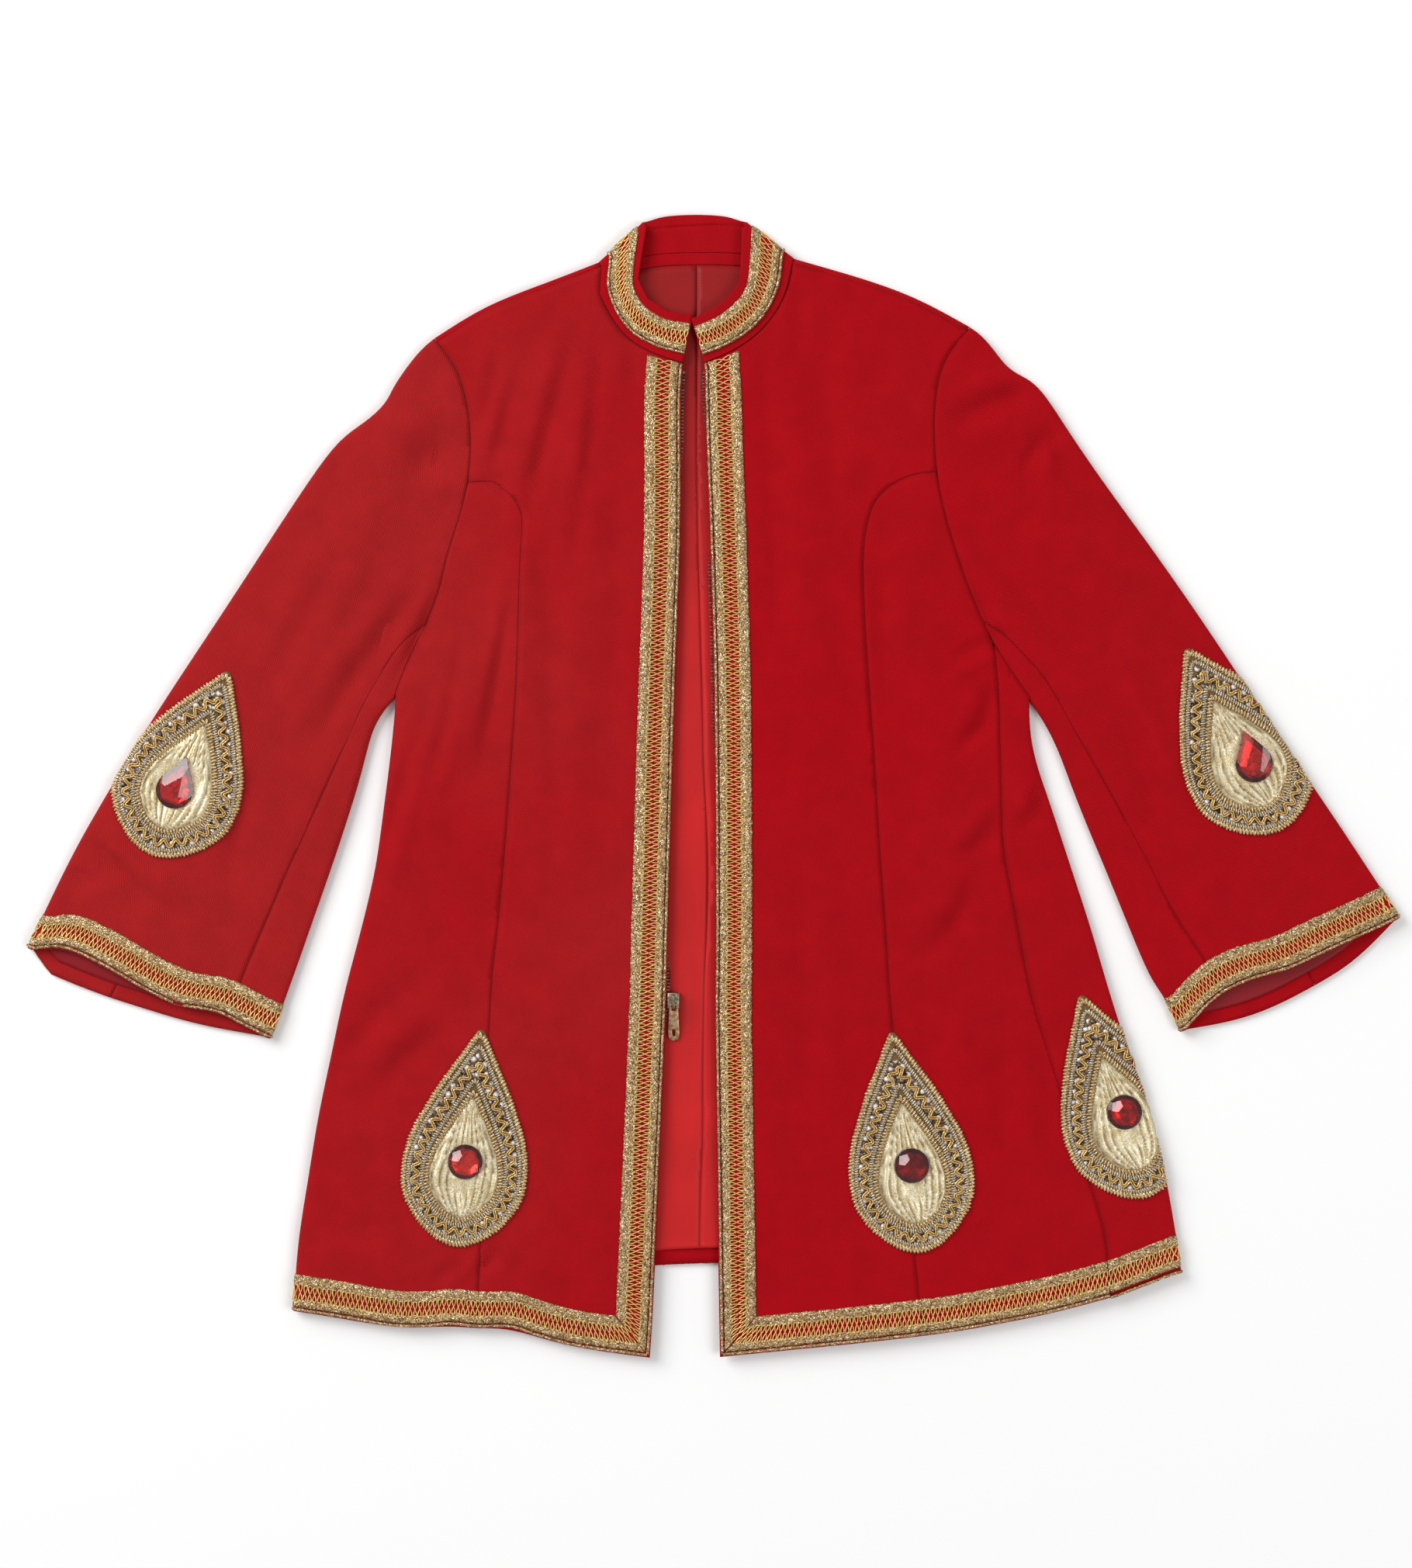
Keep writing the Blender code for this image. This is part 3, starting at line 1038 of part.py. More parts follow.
crown_profile = [(crown_ends[0], plate_top - 0.3), (crown_ends[0], plate_top + CROWN_WINDOW + 0.3),
                 (crown_ends[0] + 0.8, plate_top + CROWN_WINDOW + CROWN_TOP),
                 (crown_ends[1] - 0.8, plate_top + CROWN_WINDOW + CROWN_TOP),
                 (crown_ends[1], plate_top + CROWN_WINDOW + 0.3), (crown_ends[1], plate_top - 0.3),
                 (crown_ends[1] - CROWN_LEG, plate_top - 0.3),
                 (crown_ends[1] - CROWN_LEG, plate_top + CROWN_WINDOW),
                 (crown_ends[0] + CROWN_LEG, plate_top + CROWN_WINDOW),
                 (crown_ends[0] + CROWN_LEG, plate_top - 0.3)]
crown = extruded("zip_crown", [crown_profile], CROWN_WIDTH / 2, STEEL, CUTTERS)
crown.rotation_euler = (math.pi / 2, 0, math.pi / 2)
crown.location = (SLIDER_X * MM, 0, 0)
crown.hide_render = True
crown.display_type = "WIRE"
joined = slider.modifiers.new("crown", "BOOLEAN")
joined.operation = "UNION"
joined.object = crown

WINDOW_HALF = 1.7
pull_outline = [(-2.8, 0.9), (2.8, 0.9), (3.1, 0.2), (3.4, -5.0), (3.7, -12.0), (4.0, -20.0), (3.8, -24.0),
                (2.8, -26.2), (0.0, -PULL_LENGTH), (-2.8, -26.2), (-3.8, -24.0), (-4.0, -20.0), (-3.7, -12.0),
                (-3.4, -5.0), (-3.1, 0.2)]
pull_window = [(-WINDOW_HALF, -0.8), (-WINDOW_HALF, -4.3), (WINDOW_HALF, -4.3), (WINDOW_HALF, -0.8)]
pull_slot = [(-1.1, -18.5), (-1.3, -20.5), (-0.8, -23.6), (0.8, -23.6), (1.3, -20.5), (1.1, -18.5)]
pull = extruded("zip_pull", [pull_outline, pull_window, pull_slot], PULL_THICKNESS / 2, BRASS, PARTS)
pull.location = PIVOT * MM
pull.rotation_euler = (math.radians(PULL_TILT), 0, 0)
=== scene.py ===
import math

import bmesh
import bpy
import numpy as np
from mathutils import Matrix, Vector
from mathutils.bvhtree import BVHTree
from mathutils.kdtree import KDTree


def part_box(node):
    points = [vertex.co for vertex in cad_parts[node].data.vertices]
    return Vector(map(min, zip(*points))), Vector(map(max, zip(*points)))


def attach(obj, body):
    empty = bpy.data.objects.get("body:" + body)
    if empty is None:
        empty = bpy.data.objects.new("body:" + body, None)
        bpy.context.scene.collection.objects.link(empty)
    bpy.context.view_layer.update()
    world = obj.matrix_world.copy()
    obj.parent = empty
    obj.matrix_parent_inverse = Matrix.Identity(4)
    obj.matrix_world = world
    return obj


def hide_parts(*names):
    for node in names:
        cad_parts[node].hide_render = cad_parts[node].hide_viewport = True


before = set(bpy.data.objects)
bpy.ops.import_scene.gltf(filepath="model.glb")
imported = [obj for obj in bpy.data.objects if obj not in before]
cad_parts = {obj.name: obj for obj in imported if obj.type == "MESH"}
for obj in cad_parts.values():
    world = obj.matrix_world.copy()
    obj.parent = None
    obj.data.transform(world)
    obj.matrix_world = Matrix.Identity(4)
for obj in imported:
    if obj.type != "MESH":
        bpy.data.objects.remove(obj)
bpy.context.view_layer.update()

# Camera. The jacket lies flat and is looked at from straight above, about 2.4 m up, so that its cuffs
# just fit between the sides of the picture.
MM = 0.001
PHOTO_LENGTH = 1141.9 * MM
CAMERA_RISE = 2.4
CLOTH_LEVEL = 8 * MM
camera_data = bpy.data.cameras.new("studio_camera")
camera_data.sensor_width = 36
camera_data.lens = camera_data.sensor_width * CAMERA_RISE / PHOTO_LENGTH
camera = bpy.data.objects.new("studio_camera", camera_data)
camera.location = (-5.1 * MM, 0.85 * MM, CLOTH_LEVEL + CAMERA_RISE)
bpy.context.scene.collection.objects.link(camera)
bpy.context.scene.camera = camera

# Studio. A sheet of pale paper under the jacket, two large soft lamps above it at either side, and
# an even pale room that fills the shadows.
bpy.ops.object.select_all(action="DESELECT")
bpy.ops.mesh.primitive_plane_add(size=9, location=(0, 0, -0.2 * MM))
paper = bpy.context.object
paper.name = "studio_paper"
paper_finish = bpy.data.materials.new("pale_paper")
paper_finish.use_nodes = True
paper_shader = paper_finish.node_tree.nodes["Principled BSDF"]
paper_shader.inputs["Base Color"].default_value = (0.93, 0.93, 0.93, 1)
paper_shader.inputs["Roughness"].default_value = 1.0
paper_shader.inputs["Specular IOR Level"].default_value = 0.0
paper.data.materials.append(paper_finish)

room = bpy.data.worlds.new("pale_room")
room.use_nodes = True
room.node_tree.nodes["Background"].inputs["Color"].default_value = (1, 1, 1, 1)
room.node_tree.nodes["Background"].inputs["Strength"].default_value = 0.44
bpy.context.scene.world = room
bpy.context.scene.view_settings.view_transform = "Standard"
for lamp_name, place, size, power in (
        ("left_softbox", (-2.5, 1.8, 2.3), 2.3, 122),
        ("right_softbox", (2.3, -0.9, 2.9), 2.0, 46)):
    lamp_data = bpy.data.lights.new(lamp_name, "AREA")
    lamp_data.size = size
    lamp_data.energy = power
    lamp = bpy.data.objects.new(lamp_name, lamp_data)
    lamp.location = place
    lamp.rotation_euler = (-Vector(place)).to_track_quat("-Z", "Y").to_euler()
    bpy.context.scene.collection.objects.link(lamp)


# Body, sleeves and collar. Red wool twill with a short soft nap, cut in panels and joined by plain
# seams pressed open. Each panel is the CAD wall made smooth, then creased on its upper side.
def feed(tree, node, sockets):
    """Give each of a node's sockets its value, or the other node's socket that feeds it."""
    for name, value in sockets.items():
        if isinstance(value, bpy.types.NodeSocket):
            tree.links.new(value, node.inputs[name])
        else:
            node.inputs[name].default_value = value


def add_node(tree, kind, sockets, **settings):
    made = tree.nodes.new(kind)
    for name, value in settings.items():
        setattr(made, name, value)
    feed(tree, made, sockets)
    return made


def noise(tree, place, scale, detail):
    sockets = {"Scale": scale, "Detail": detail, "Vector": place}
    return add_node(tree, "ShaderNodeTexNoise", sockets).outputs["Fac"]


def stripes(tree, place, scale, distortion, detail, way="X", detail_scale=1.0):
    sockets = {"Scale": scale, "Distortion": distortion, "Detail": detail, "Detail Scale": detail_scale,
               "Vector": place}
    return add_node(tree, "ShaderNodeTexWave", sockets, bands_direction=way).outputs["Fac"]


def remap(tree, value, low, high, to_low=0.0, to_high=1.0):
    sockets = {0: value, 1: low, 2: high, 3: to_low, 4: to_high}
    return add_node(tree, "ShaderNodeMapRange", sockets).outputs[0]


def reckon(tree, how, *values):
    return add_node(tree, "ShaderNodeMath", dict(enumerate(values)), operation=how).outputs[0]


def blend(tree, share, first, second, how="MIX"):
    sockets = {0: share, 6: first, 7: second}
    return add_node(tree, "ShaderNodeMix", sockets, data_type="RGBA", blend_type=how).outputs[2]


def lit(tree, colour, *lights):
    """A colour made lighter or darker by two lights."""
    light = reckon(tree, "MULTIPLY", *lights)
    grey = add_node(tree, "ShaderNodeCombineColor", {0: light, 1: light, 2: light}).outputs[0]
    return blend(tree, 1.0, colour, grey, "MULTIPLY")


def bumped(tree, strength, depth, height):
    sockets = {"Strength": strength, "Distance": depth * MM, "Height": height}
    return add_node(tree, "ShaderNodeBump", sockets).outputs["Normal"]


def shader_group(build, name, colours, gives=("Colour", "Roughness", "Height")):
    """A shader group. build makes its nodes from a place and colours, and returns what it gives."""
    group = bpy.data.node_groups.new(name, "ShaderNodeTree")
    sockets = [("Place", "INPUT", "Vector")] + [(label, "INPUT", "Color") for label in colours]
    sockets += [(label, "OUTPUT", "Color" if label == "Colour" else "Float") for label in gives]
    for label, way, kind in sockets:
        group.interface.new_socket(label, in_out=way, socket_type="NodeSocket" + kind)
    given = group.nodes.new("NodeGroupInput")
    found = build(group, *given.outputs[:1 + len(colours)])
    feed(group, group.nodes.new("NodeGroupOutput"), dict(zip(gives, found)))
    return group


def new_finish(name):
    """A material, its tree and shader, and the place on the object by which its pattern is laid."""
    finish = bpy.data.materials.new(name)
    finish.use_nodes = True
    tree = finish.node_tree
    place = add_node(tree, "ShaderNodeTexCoord", {}).outputs["Object"]
    return finish, tree, tree.nodes["Principled BSDF"], place


def group_finish(name, group, colours, strength, depth, constants, turn=None):
    """A material whose group feeds the shader, with its pattern turned to a grain where one is given."""
    finish, tree, shader, place = new_finish(name)
    if turn is not None:
        turned = {"Rotation": (0, 0, math.radians(turn)), "Vector": place}
        place = add_node(tree, "ShaderNodeMapping", turned).outputs["Vector"]
    sockets = {label: (*colour, 1) for label, colour in colours.items()}
    given = add_node(tree, "ShaderNodeGroup", {**sockets, "Place": place}, node_tree=group).outputs
    for label, socket in (("Colour", "Base Color"), ("Roughness", "Roughness"), ("Metallic", "Metallic")):
        if label in given:
            tree.links.new(given[label], shader.inputs[socket])
    feed(tree, shader, {"Normal": bumped(tree, strength, depth, given["Height"]), **constants})
    return finish


def twill(tree, place, colour, shade):
    """Diagonal twill lines, nap and uneven dye, by place on the cloth."""
    lines = stripes(tree, place, 330, 1.6, 1, "DIAGONAL", 2.0)
    nap = noise(tree, place, 900, 2)
    dye = blend(tree, remap(tree, noise(tree, place, 4, 2), 0.35, 0.7), colour, shade)
    grain = reckon(tree, "ADD", lines, nap)
    grain_light = remap(tree, grain, 0.3, 1.7, 0.78, 1.16)
    mottle_light = remap(tree, noise(tree, place, 55, 3), 0.3, 0.7, 0.93, 1.06)
    return lit(tree, dye, grain_light, mottle_light), remap(tree, nap, 0.2, 0.8, 0.82, 0.96), grain


TWILL = shader_group(twill, "wool_twill", ("Colour", "Shade"))


def cloth_material(name, group, colour, shade, turn, depth, sheen, gloss):
    constants = {"Sheen Weight": sheen, "Sheen Roughness": 0.45, "Sheen Tint": (1.0, 0.25, 0.25, 1),
                 "Specular IOR Level": gloss}
    return group_finish(name, group, {"Colour": colour, "Shade": shade}, 0.6, depth, constants, turn)


# The right front and right sleeve lie nearest the left lamp. They get paler, hazier reds than the rest of the
# wool: painted sheen, for the haze that lamp raises on that side.
DEEP_RED = (0.385, 0.0015, 0.006)
PAINTED_SHEEN_RED = (0.36, 0.011, 0.0125)
DULL_RED = (0.37, 0.003, 0.007)
NAP = 0.3
BODY_WOOL = cloth_material("body_wool", TWILL, DEEP_RED, DULL_RED, 0, NAP, 0.04, 0.08)
SHEEN_PAINTED_RIGHT_FRONT_WOOL = cloth_material("right_front_wool_painted_sheen", TWILL, DULL_RED, PAINTED_SHEEN_RED, 0, NAP, 0.06, 0.1)
SHEEN_PAINTED_RIGHT_SLEEVE_WOOL = cloth_material("right_sleeve_wool_painted_sheen", TWILL, PAINTED_SHEEN_RED, PAINTED_SHEEN_RED, 32, NAP, 0.07, 0.1)
LEFT_SLEEVE_WOOL = cloth_material("left_sleeve_wool", TWILL, DEEP_RED, DULL_RED, -32, NAP, 0.04, 0.08)

# Creases of the upper cloth, in mm: (height or depth, half width, the line that it follows).
CREASES = [
    (3.2, 9, [(-104, 345), (-121, 293), (-134, 246), (-144, 205)]),
    (-3.2, 6, [(-96, 345), (-112, 293), (-124, 246), (-134, 205), (-138, 184)]),
    (2.4, 8, [(-92, 342), (-93, 293), (-99, 242), (-107, 190)]),
    (-2.7, 6, [(-84.5, 345), (-85, 293), (-90, 242), (-97, 190), (-105, 140)]),
    (1.0, 5, [(-68, 325), (-65, 289)]),
    (-1.9, 4, [(-61, 325), (-58, 288)]),
    (2.0, 6, [(-166, 320), (-168, 293), (-173, 268)]),
    (-2.3, 5, [(-158, 322), (-160, 293), (-165, 266)]),
    (2.2, 7, [(-152, 302), (-162, 258), (-170, 229)]),
    (-2.6, 6, [(-144, 304), (-153, 258), (-161, 227)]),
    (0.8, 1.8, [(-128, 188), (-130, 150), (-135, 126)]),
    (0.7, 1.6, [(-134, 192), (-136, 152), (-139, 124)]),
    (2.8, 7, [(-154, 142), (-162, 98), (-170, 60), (-179, 18)]),
    (-3.1, 5, [(-146, 142), (-154, 98), (-161, 62), (-169, 18)]),
    (1.9, 12, [(-103, 152), (-102, 60), (-97, -44)]),
    (-2.3, 9, [(-119, 154), (-117, 60), (-112, -44)]),
    (1.6, 12, [(-52, 224), (-56, 100), (-54, -10)]),
    (-1.9, 10, [(-68, 224), (-71, 100), (-69, -10)]),
    (2.4, 8, [(-194, 66), (-216, -6), (-239, -80)]),
    (-3.0, 6.5, [(-205, 66), (-228, -10), (-250, -84)]),
    (1.9, 8, [(-170, 112), (-183, 50), (-204, -18)]),
    (-2.4, 6, [(-181, 112), (-193, 50), (-215, -20)]),
    (2.4, 12, [(-202, -160), (-228, -180), (-254, -210)]),
    (-3.1, 10, [(-214, -140), (-238, -162), (-262, -190), (-276, -218)]),
    (-2.0, 9, [(-194, -174), (-223, -198), (-246, -226)]),
    (1.8, 12, [(-296, -330), (-262, -344), (-230, -350)]),
    (-1.9, 9, [(-294, -302), (-262, -322), (-234, -330)]),
    (1.8, 6, [(-190, -362), (-176, -350), (-167, -340)]),
    (-2.3, 5, [(-206, -364), (-192, -354), (-181, -345)]),
    (1.9, 6, [(-160, -360), (-150, -346), (-143, -333)]),
    (-2.6, 5, [(-176, -358), (-163, -345), (-154, -333)]),
    (3.0, 13, [(-248, 262), (-220, 263), (-192, 269)]),
    (-3.4, 11, [(-238, 244), (-212, 238), (-187, 242)]),
    (1.9, 12, [(-234, 218), (-212, 214), (-189, 216)]),
    (-2.2, 9, [(-262, 234), (-247, 222), (-236, 206)]),
    (2.6, 11, [(-224, 160), (-246, 124), (-276, 84), (-298, 46)]),
    (-3.1, 9, [(-212, 152), (-232, 118), (-262, 78), (-284, 40)]),
    (1.9, 12, [(-276, 190), (-305, 136), (-334, 84)]),
    (-2.3, 10, [(-262, 182), (-290, 130), (-320, 78)]),
    (-3.6, 5, [(-198, 146), (-212, 113), (-228, 82)]),
    (-3.0, 3.5, [(-472, -61), (-456, -68), (-445, -74)]),
    (2.6, 6, [(-442, -39), (-427, -53), (-414, -68), (-405, -86)]),
    (-3.5, 4.2, [(-451, -43), (-436, -56), (-423, -70), (-414, -88)]),
    (2.0, 6, [(-412, -60), (-393, -78), (-378, -88)]),
    (-2.7, 4.5, [(-422, -70), (-402, -88), (-386, -97)]),
    (1.9, 12, [(-346, 24), (-361, -28), (-368, -80)]),
    (-2.2, 9, [(-331, 22), (-346, -30), (-353, -82)]),
    (3.2, 8, [(182, 283), (200, 293), (224, 297)]),
    (-3.6, 6.5, [(171, 261), (192, 276), (215, 281), (234, 288)]),
    (2.4, 9, [(178, 246), (200, 260), (222, 265)]),
    (2.7, 8, [(239, 222), (245, 236), (254, 244)]),
    (-3.6, 6, [(225, 222), (229, 236), (238, 248), (255, 258)]),
    (2.6, 12, [(214, 188), (242, 153), (267, 121), (288, 96)]),
    (-2.8, 10, [(200, 179), (228, 145), (253, 114), (273, 90)]),
    (2.0, 12, [(301, 82), (331, 20), (352, -42)]),
    (-2.4, 9, [(287, 76), (315, 14), (336, -48)]),
    (-3.6, 5, [(188, 154), (203, 118), (223, 82)]),
    (2.2, 5.5, [(176, 80), (192, 88), (208, 95)]),
    (-3.2, 4.5, [(170, 88), (190, 99), (207, 108)]),
    (2.4, 8, [(169, 34), (186, 52), (196, 82)]),
    (-3.5, 6, [(179, 24), (196, 43), (206, 76)]),
    (2.4, 6, [(232, 5), (226, -12), (213, -28)]),
    (-3.6, 5, [(242, 0), (235, -20), (222, -36), (209, -44)]),
    (2.4, 9, [(201, -13), (186, -32), (170, -47)]),
    (-3.4, 7.5, [(213, -21), (196, -42), (180, -57)]),
    (2.3, 10, [(181, -58), (170, -84), (153, -106)]),
    (-3.1, 8, [(195, -58), (186, -85), (170, -112), (153, -124)]),
    (2.0, 12, [(162, -130), (174, -172), (184, -218)]),
    (-2.6, 9, [(147, -130), (159, -174), (169, -221)]),
    (2.0, 12, [(226, -168), (228, -230), (231, -292)]),
    (-2.4, 9, [(210, -168), (211, -230), (214, -292)]),
    (1.8, 10, [(138, 168), (137, 120), (141, 68)]),
    (-2.2, 8, [(125, 168), (123, 120), (127, 66)]),
    (2.0, 12, [(54, 305), (62, 200), (67, 88)]),
    (-2.3, 9, [(38, 305), (46, 200), (52, 88)]),
    (-1.9, 9, [(82, 312), (86, 230), (85, 148)]),
    (-2.2, 6, [(61, 372), (63, 340), (64, 298)]),
    (1.8, 12, [(78, -38), (84, -140), (88, -242)]),
    (-2.2, 10, [(61, -38), (67, -140), (71, -242)]),
]
# Creases of the back and the under sleeves, lifted off the table, so that they show as troughs behind.
UNDER_CREASES = [
    (1.2, 6, [(-120, 300), (-112, 180), (-120, 60)]),
    (1.0, 5, [(62, 290), (72, 180), (62, 84)]),
    (1.2, 5, [(-205, 52), (-150, 36), (-98, 50)]),
    (1.1, 6, [(42, 26), (110, 42), (186, 22)]),
    (1.0, 7, [(-178, -60), (-202, -180), (-190, -310)]),
    (1.2, 8, [(-60, -40), (-72, -170), (-58, -310)]),
    (1.1, 7, [(90, -60), (102, -190), (124, -300)]),
    (1.0, 7, [(198, -40), (228, -160), (256, -270)]),
    (1.3, 5, [(-306, 112), (-284, 60), (-266, 24)]),
    (1.1, 6, [(-424, -20), (-374, -62), (-330, -84)]),
    (1.3, 5, [(274, 152), (264, 100), (262, 36)]),
    (1.2, 6, [(344, 64), (362, 0), (350, -66)]),
]


def crease_heights(places, creases):
    """The height that soft ridges and troughs, drawn along lines, add at each place in plan, in mm."""
    total = np.zeros(len(places))
    for height, half_width, line in creases:
        nearest = np.full(len(places), 1e9)
        along = np.zeros(len(places))
        walked = 0.0
        for a, b in zip(line, line[1:]):
            a, run = np.array(a, float), np.array(b, float) - a
            length = float(np.hypot(*run))
            share = np.clip((places - a) @ run / length**2, 0, 1)
            gap = np.hypot(*(places - a - share[:, None] * run).T)
            closer = gap < nearest
            nearest = np.where(closer, gap, nearest)
            along = np.where(closer, walked + share * length, along)
            walked += length
        fade = np.sin(np.pi * np.clip(along / walked, 0.04, 0.96))**0.7
        total += height * fade * np.exp(-(nearest / half_width)**2)
    return total


def gentle_waves(places):
    """Low, wide unevenness of cloth that has been worn and laid down, in mm."""
    x, y = places.T
    waves = 0.5 * np.sin(x / 31 + 1.7 * np.sin(y / 97)) * np.sin(y / 43 + 1.1 * np.sin(x / 71))
    waves += 0.16 * np.sin(x / 13.1 + 2.1 * np.sin(y / 37 + 0.6)) * np.sin(y / 19.7 + 1.3 * np.sin(x / 29))
    return waves


def smooth_steps(values, low, high):
    share = np.clip((values - low) / (high - low), 0, 1)
    return share * share * (3 - 2 * share)


CLOTH_STEP = 5.5
BACK_STEP = 9.0
EDGE_BEND = math.radians(58)
RIM_BEND = math.radians(24)
WALL_SLACK = 0.16


def cad_piece(node, label):
    """A copy of a CAD solid with its corners joined, left in edit mode with everything selected."""
    piece = bpy.data.objects.new(node + label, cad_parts[node].data.copy())
    bpy.context.scene.collection.objects.link(piece)
    bpy.ops.object.select_all(action="DESELECT")
    piece.select_set(True)
    bpy.context.view_layer.objects.active = piece
    bpy.ops.object.mode_set(mode="EDIT")
    bpy.ops.mesh.select_all(action="SELECT")
    bpy.ops.mesh.remove_doubles(threshold=1e-6)
    return piece


def dress(piece, finish, smooth_angle):
    piece.data.materials.clear()
    piece.data.materials.append(finish)
    bpy.ops.object.shade_smooth_by_angle(angle=math.radians(smooth_angle))
    return piece


def cut_cloth(node, finish, levels=2, wall=1.6, step=CLOTH_STEP):
    """A cloth piece from its CAD wall: in quads again, smoothed, with its cut edges kept crisp."""
    piece = cad_piece(node, "_cloth")
    bpy.ops.mesh.tris_convert_to_quads(face_threshold=math.radians(60), shape_threshold=math.radians(120),
                                       topology_influence=2.0)
    bpy.ops.object.mode_set(mode="OBJECT")
    bm = bmesh.new()
    bm.from_mesh(piece.data)
    crisp = bm.edges.layers.float.new("crease_edge")
    across = {edge for edge in bm.edges if abs(edge.calc_length() / MM - wall) < WALL_SLACK}
    rims = {face for face in bm.faces if any(edge in across for edge in face.edges)}
    for edge in bm.edges:
        on_rim = sum(face in rims for face in edge.link_faces)
        bend = edge.calc_face_angle(0)
        if on_rim == 1 or bend > EDGE_BEND or (edge in across and bend > RIM_BEND):
            edge[crisp] = 1.0
    bm.to_mesh(piece.data)
    bm.free()
    smoother = piece.modifiers.new("smooth", "SUBSURF")
    smoother.levels = levels
    smoother.render_levels = levels
    bpy.ops.object.modifier_apply(modifier=smoother.name)
    bm = bmesh.new()
    bm.from_mesh(piece.data)
    for _ in range(6):
        long_edges = [edge for edge in bm.edges if edge.calc_length() > step * MM
                      and any(face.normal.z > 0.3 for face in edge.link_faces)]
        bmesh.ops.subdivide_edges(bm, edges=long_edges, cuts=1, use_grid_fill=True)
    bm.to_mesh(piece.data)
    bm.free()
    return dress(piece, finish, 50)


def corners_of(mesh):
    """The places of a mesh's corners in mm, and their normals."""
    found = []
    for label in ("co", "normal"):
        values = np.empty(len(mesh.vertices) * 3)
        mesh.vertices.foreach_get(label, values)
        found.append(values.reshape(-1, 3))
    return found[0] / MM, found[1]


def move_corners(mesh, places):
    mesh.vertices.foreach_set("co", (places * MM).ravel())
    mesh.update()


SEAM_DIP = 0.12
SEAM_REACH = 2.6
SEAM_CLOSING = 0.13
UPPER_CLOTH = (3.4, 6.2)
CUT_BEND = 0.9
PUFF_PLACE = 7
PUFF_REACH = 5


def press(piece, creases, puff):
    """Crease a piece's upper side, and round its cut edges down into their seams."""
    mesh = piece.data
    places, normals = corners_of(mesh)
    upper = smooth_steps(places[:, 2], *UPPER_CLOTH)
    rise = (crease_heights(places[:, :2], creases) + gentle_waves(places[:, :2])) * upper
    rise += crease_heights(places[:, :2], UNDER_CREASES) * (1 - upper)
    bm = bmesh.new()
    bm.from_mesh(mesh)
    edge_spots = {vert.index for edge in bm.edges if edge.calc_face_angle(0) > CUT_BEND
                  for vert in edge.verts}
    bm.free()
    tree = KDTree(len(edge_spots))
    for k, index in enumerate(sorted(edge_spots)):
        tree.insert(places[index], k)
    tree.balance()
    gaps = np.array([tree.find(place)[2] for place in places])
    outer = upper * (normals[:, 2] > 0.1)
    rise -= SEAM_DIP * np.exp(-(gaps / SEAM_REACH)**2) * outer
    rise += puff * np.exp(-((gaps - PUFF_PLACE) / PUFF_REACH)**2) * upper
    aside = np.hypot(*normals[:, :2].T)
    drawn = SEAM_CLOSING * upper * (gaps < 1e-4) * (aside > 0.3) / np.maximum(aside, 0.3)
    places[:, :2] += normals[:, :2] * drawn[:, None]
    places[:, 2] += rise
    move_corners(mesh, places)


def settle(piece, node, body="jacket"):
    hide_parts(node)
    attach(piece, body)


cloth = {}
for node, finish, puff in (
        ("back_panel", BODY_WOOL, 0.0), ("right_centre_front", SHEEN_PAINTED_RIGHT_FRONT_WOOL, 0.0),
        ("left_centre_front", BODY_WOOL, 0.0), ("right_side_front", SHEEN_PAINTED_RIGHT_FRONT_WOOL, 0.0),
        ("left_side_front", BODY_WOOL, 0.0), ("right_upper_sleeve", SHEEN_PAINTED_RIGHT_SLEEVE_WOOL, 0.5),
        ("right_under_sleeve", SHEEN_PAINTED_RIGHT_SLEEVE_WOOL, 0.3), ("left_upper_sleeve", LEFT_SLEEVE_WOOL, 0.5),
        ("left_under_sleeve", LEFT_SLEEVE_WOOL, 0.3)):
    cloth[node] = cut_cloth(node, finish, step=BACK_STEP if node == "back_panel" else CLOTH_STEP)
    press(cloth[node], CREASES, puff)
    settle(cloth[node], node)

# The line sewn along the inside of the collar.
COLLAR_SEAM = [(-1.1, 1.1, [(-58, 403), (-49, 405), (-22.5, 407.4), (2, 408.4), (19, 407.6), (30, 406)])]
cloth["collar"] = cut_cloth("collar", BODY_WOOL, 3, wall=2.6, step=2.6)
places, normals = corners_of(cloth["collar"].data)
places[:, 2] += crease_heights(places[:, :2], COLLAR_SEAM) * (normals[:, 2] > 0.5)
move_corners(cloth["collar"].data, places)
cloth["back_neck_facing"] = cut_cloth("back_neck_facing", BODY_WOOL, 3, wall=1.0)
for node in ("collar", "back_neck_facing"):
    settle(cloth[node], node)


# Linings. Thin red satin inside the back, in two halves with a seam between them, and inside each
# cuff. They are sewn to a turned-in band of the wool and hang in soft long creases.
def satin(tree, place, colour, shade):
    """Fine weft lines and slow changes of tone, and painted shade that darkens it towards the neck."""
    weft = stripes(tree, place, 420, 0.6, 1, "Y")
    slow = noise(tree, place, 14, 3)
    north = add_node(tree, "ShaderNodeSeparateXYZ", {0: place}).outputs["Y"]
    # Painted shade: the lining is blended to a darker red towards the neck, where it lies deep under the
    # collar and between the fronts.
    mixed = blend(tree, remap(tree, north, 0.1, 0.33), colour, shade)
    weft_light = remap(tree, weft, 0, 1, 0.93, 1.05)
    slow_light = remap(tree, slow, 0.3, 0.7, 0.88, 1.1)
    return lit(tree, mixed, weft_light, slow_light), remap(tree, slow, 0.3, 0.7, 0.42, 0.56), weft


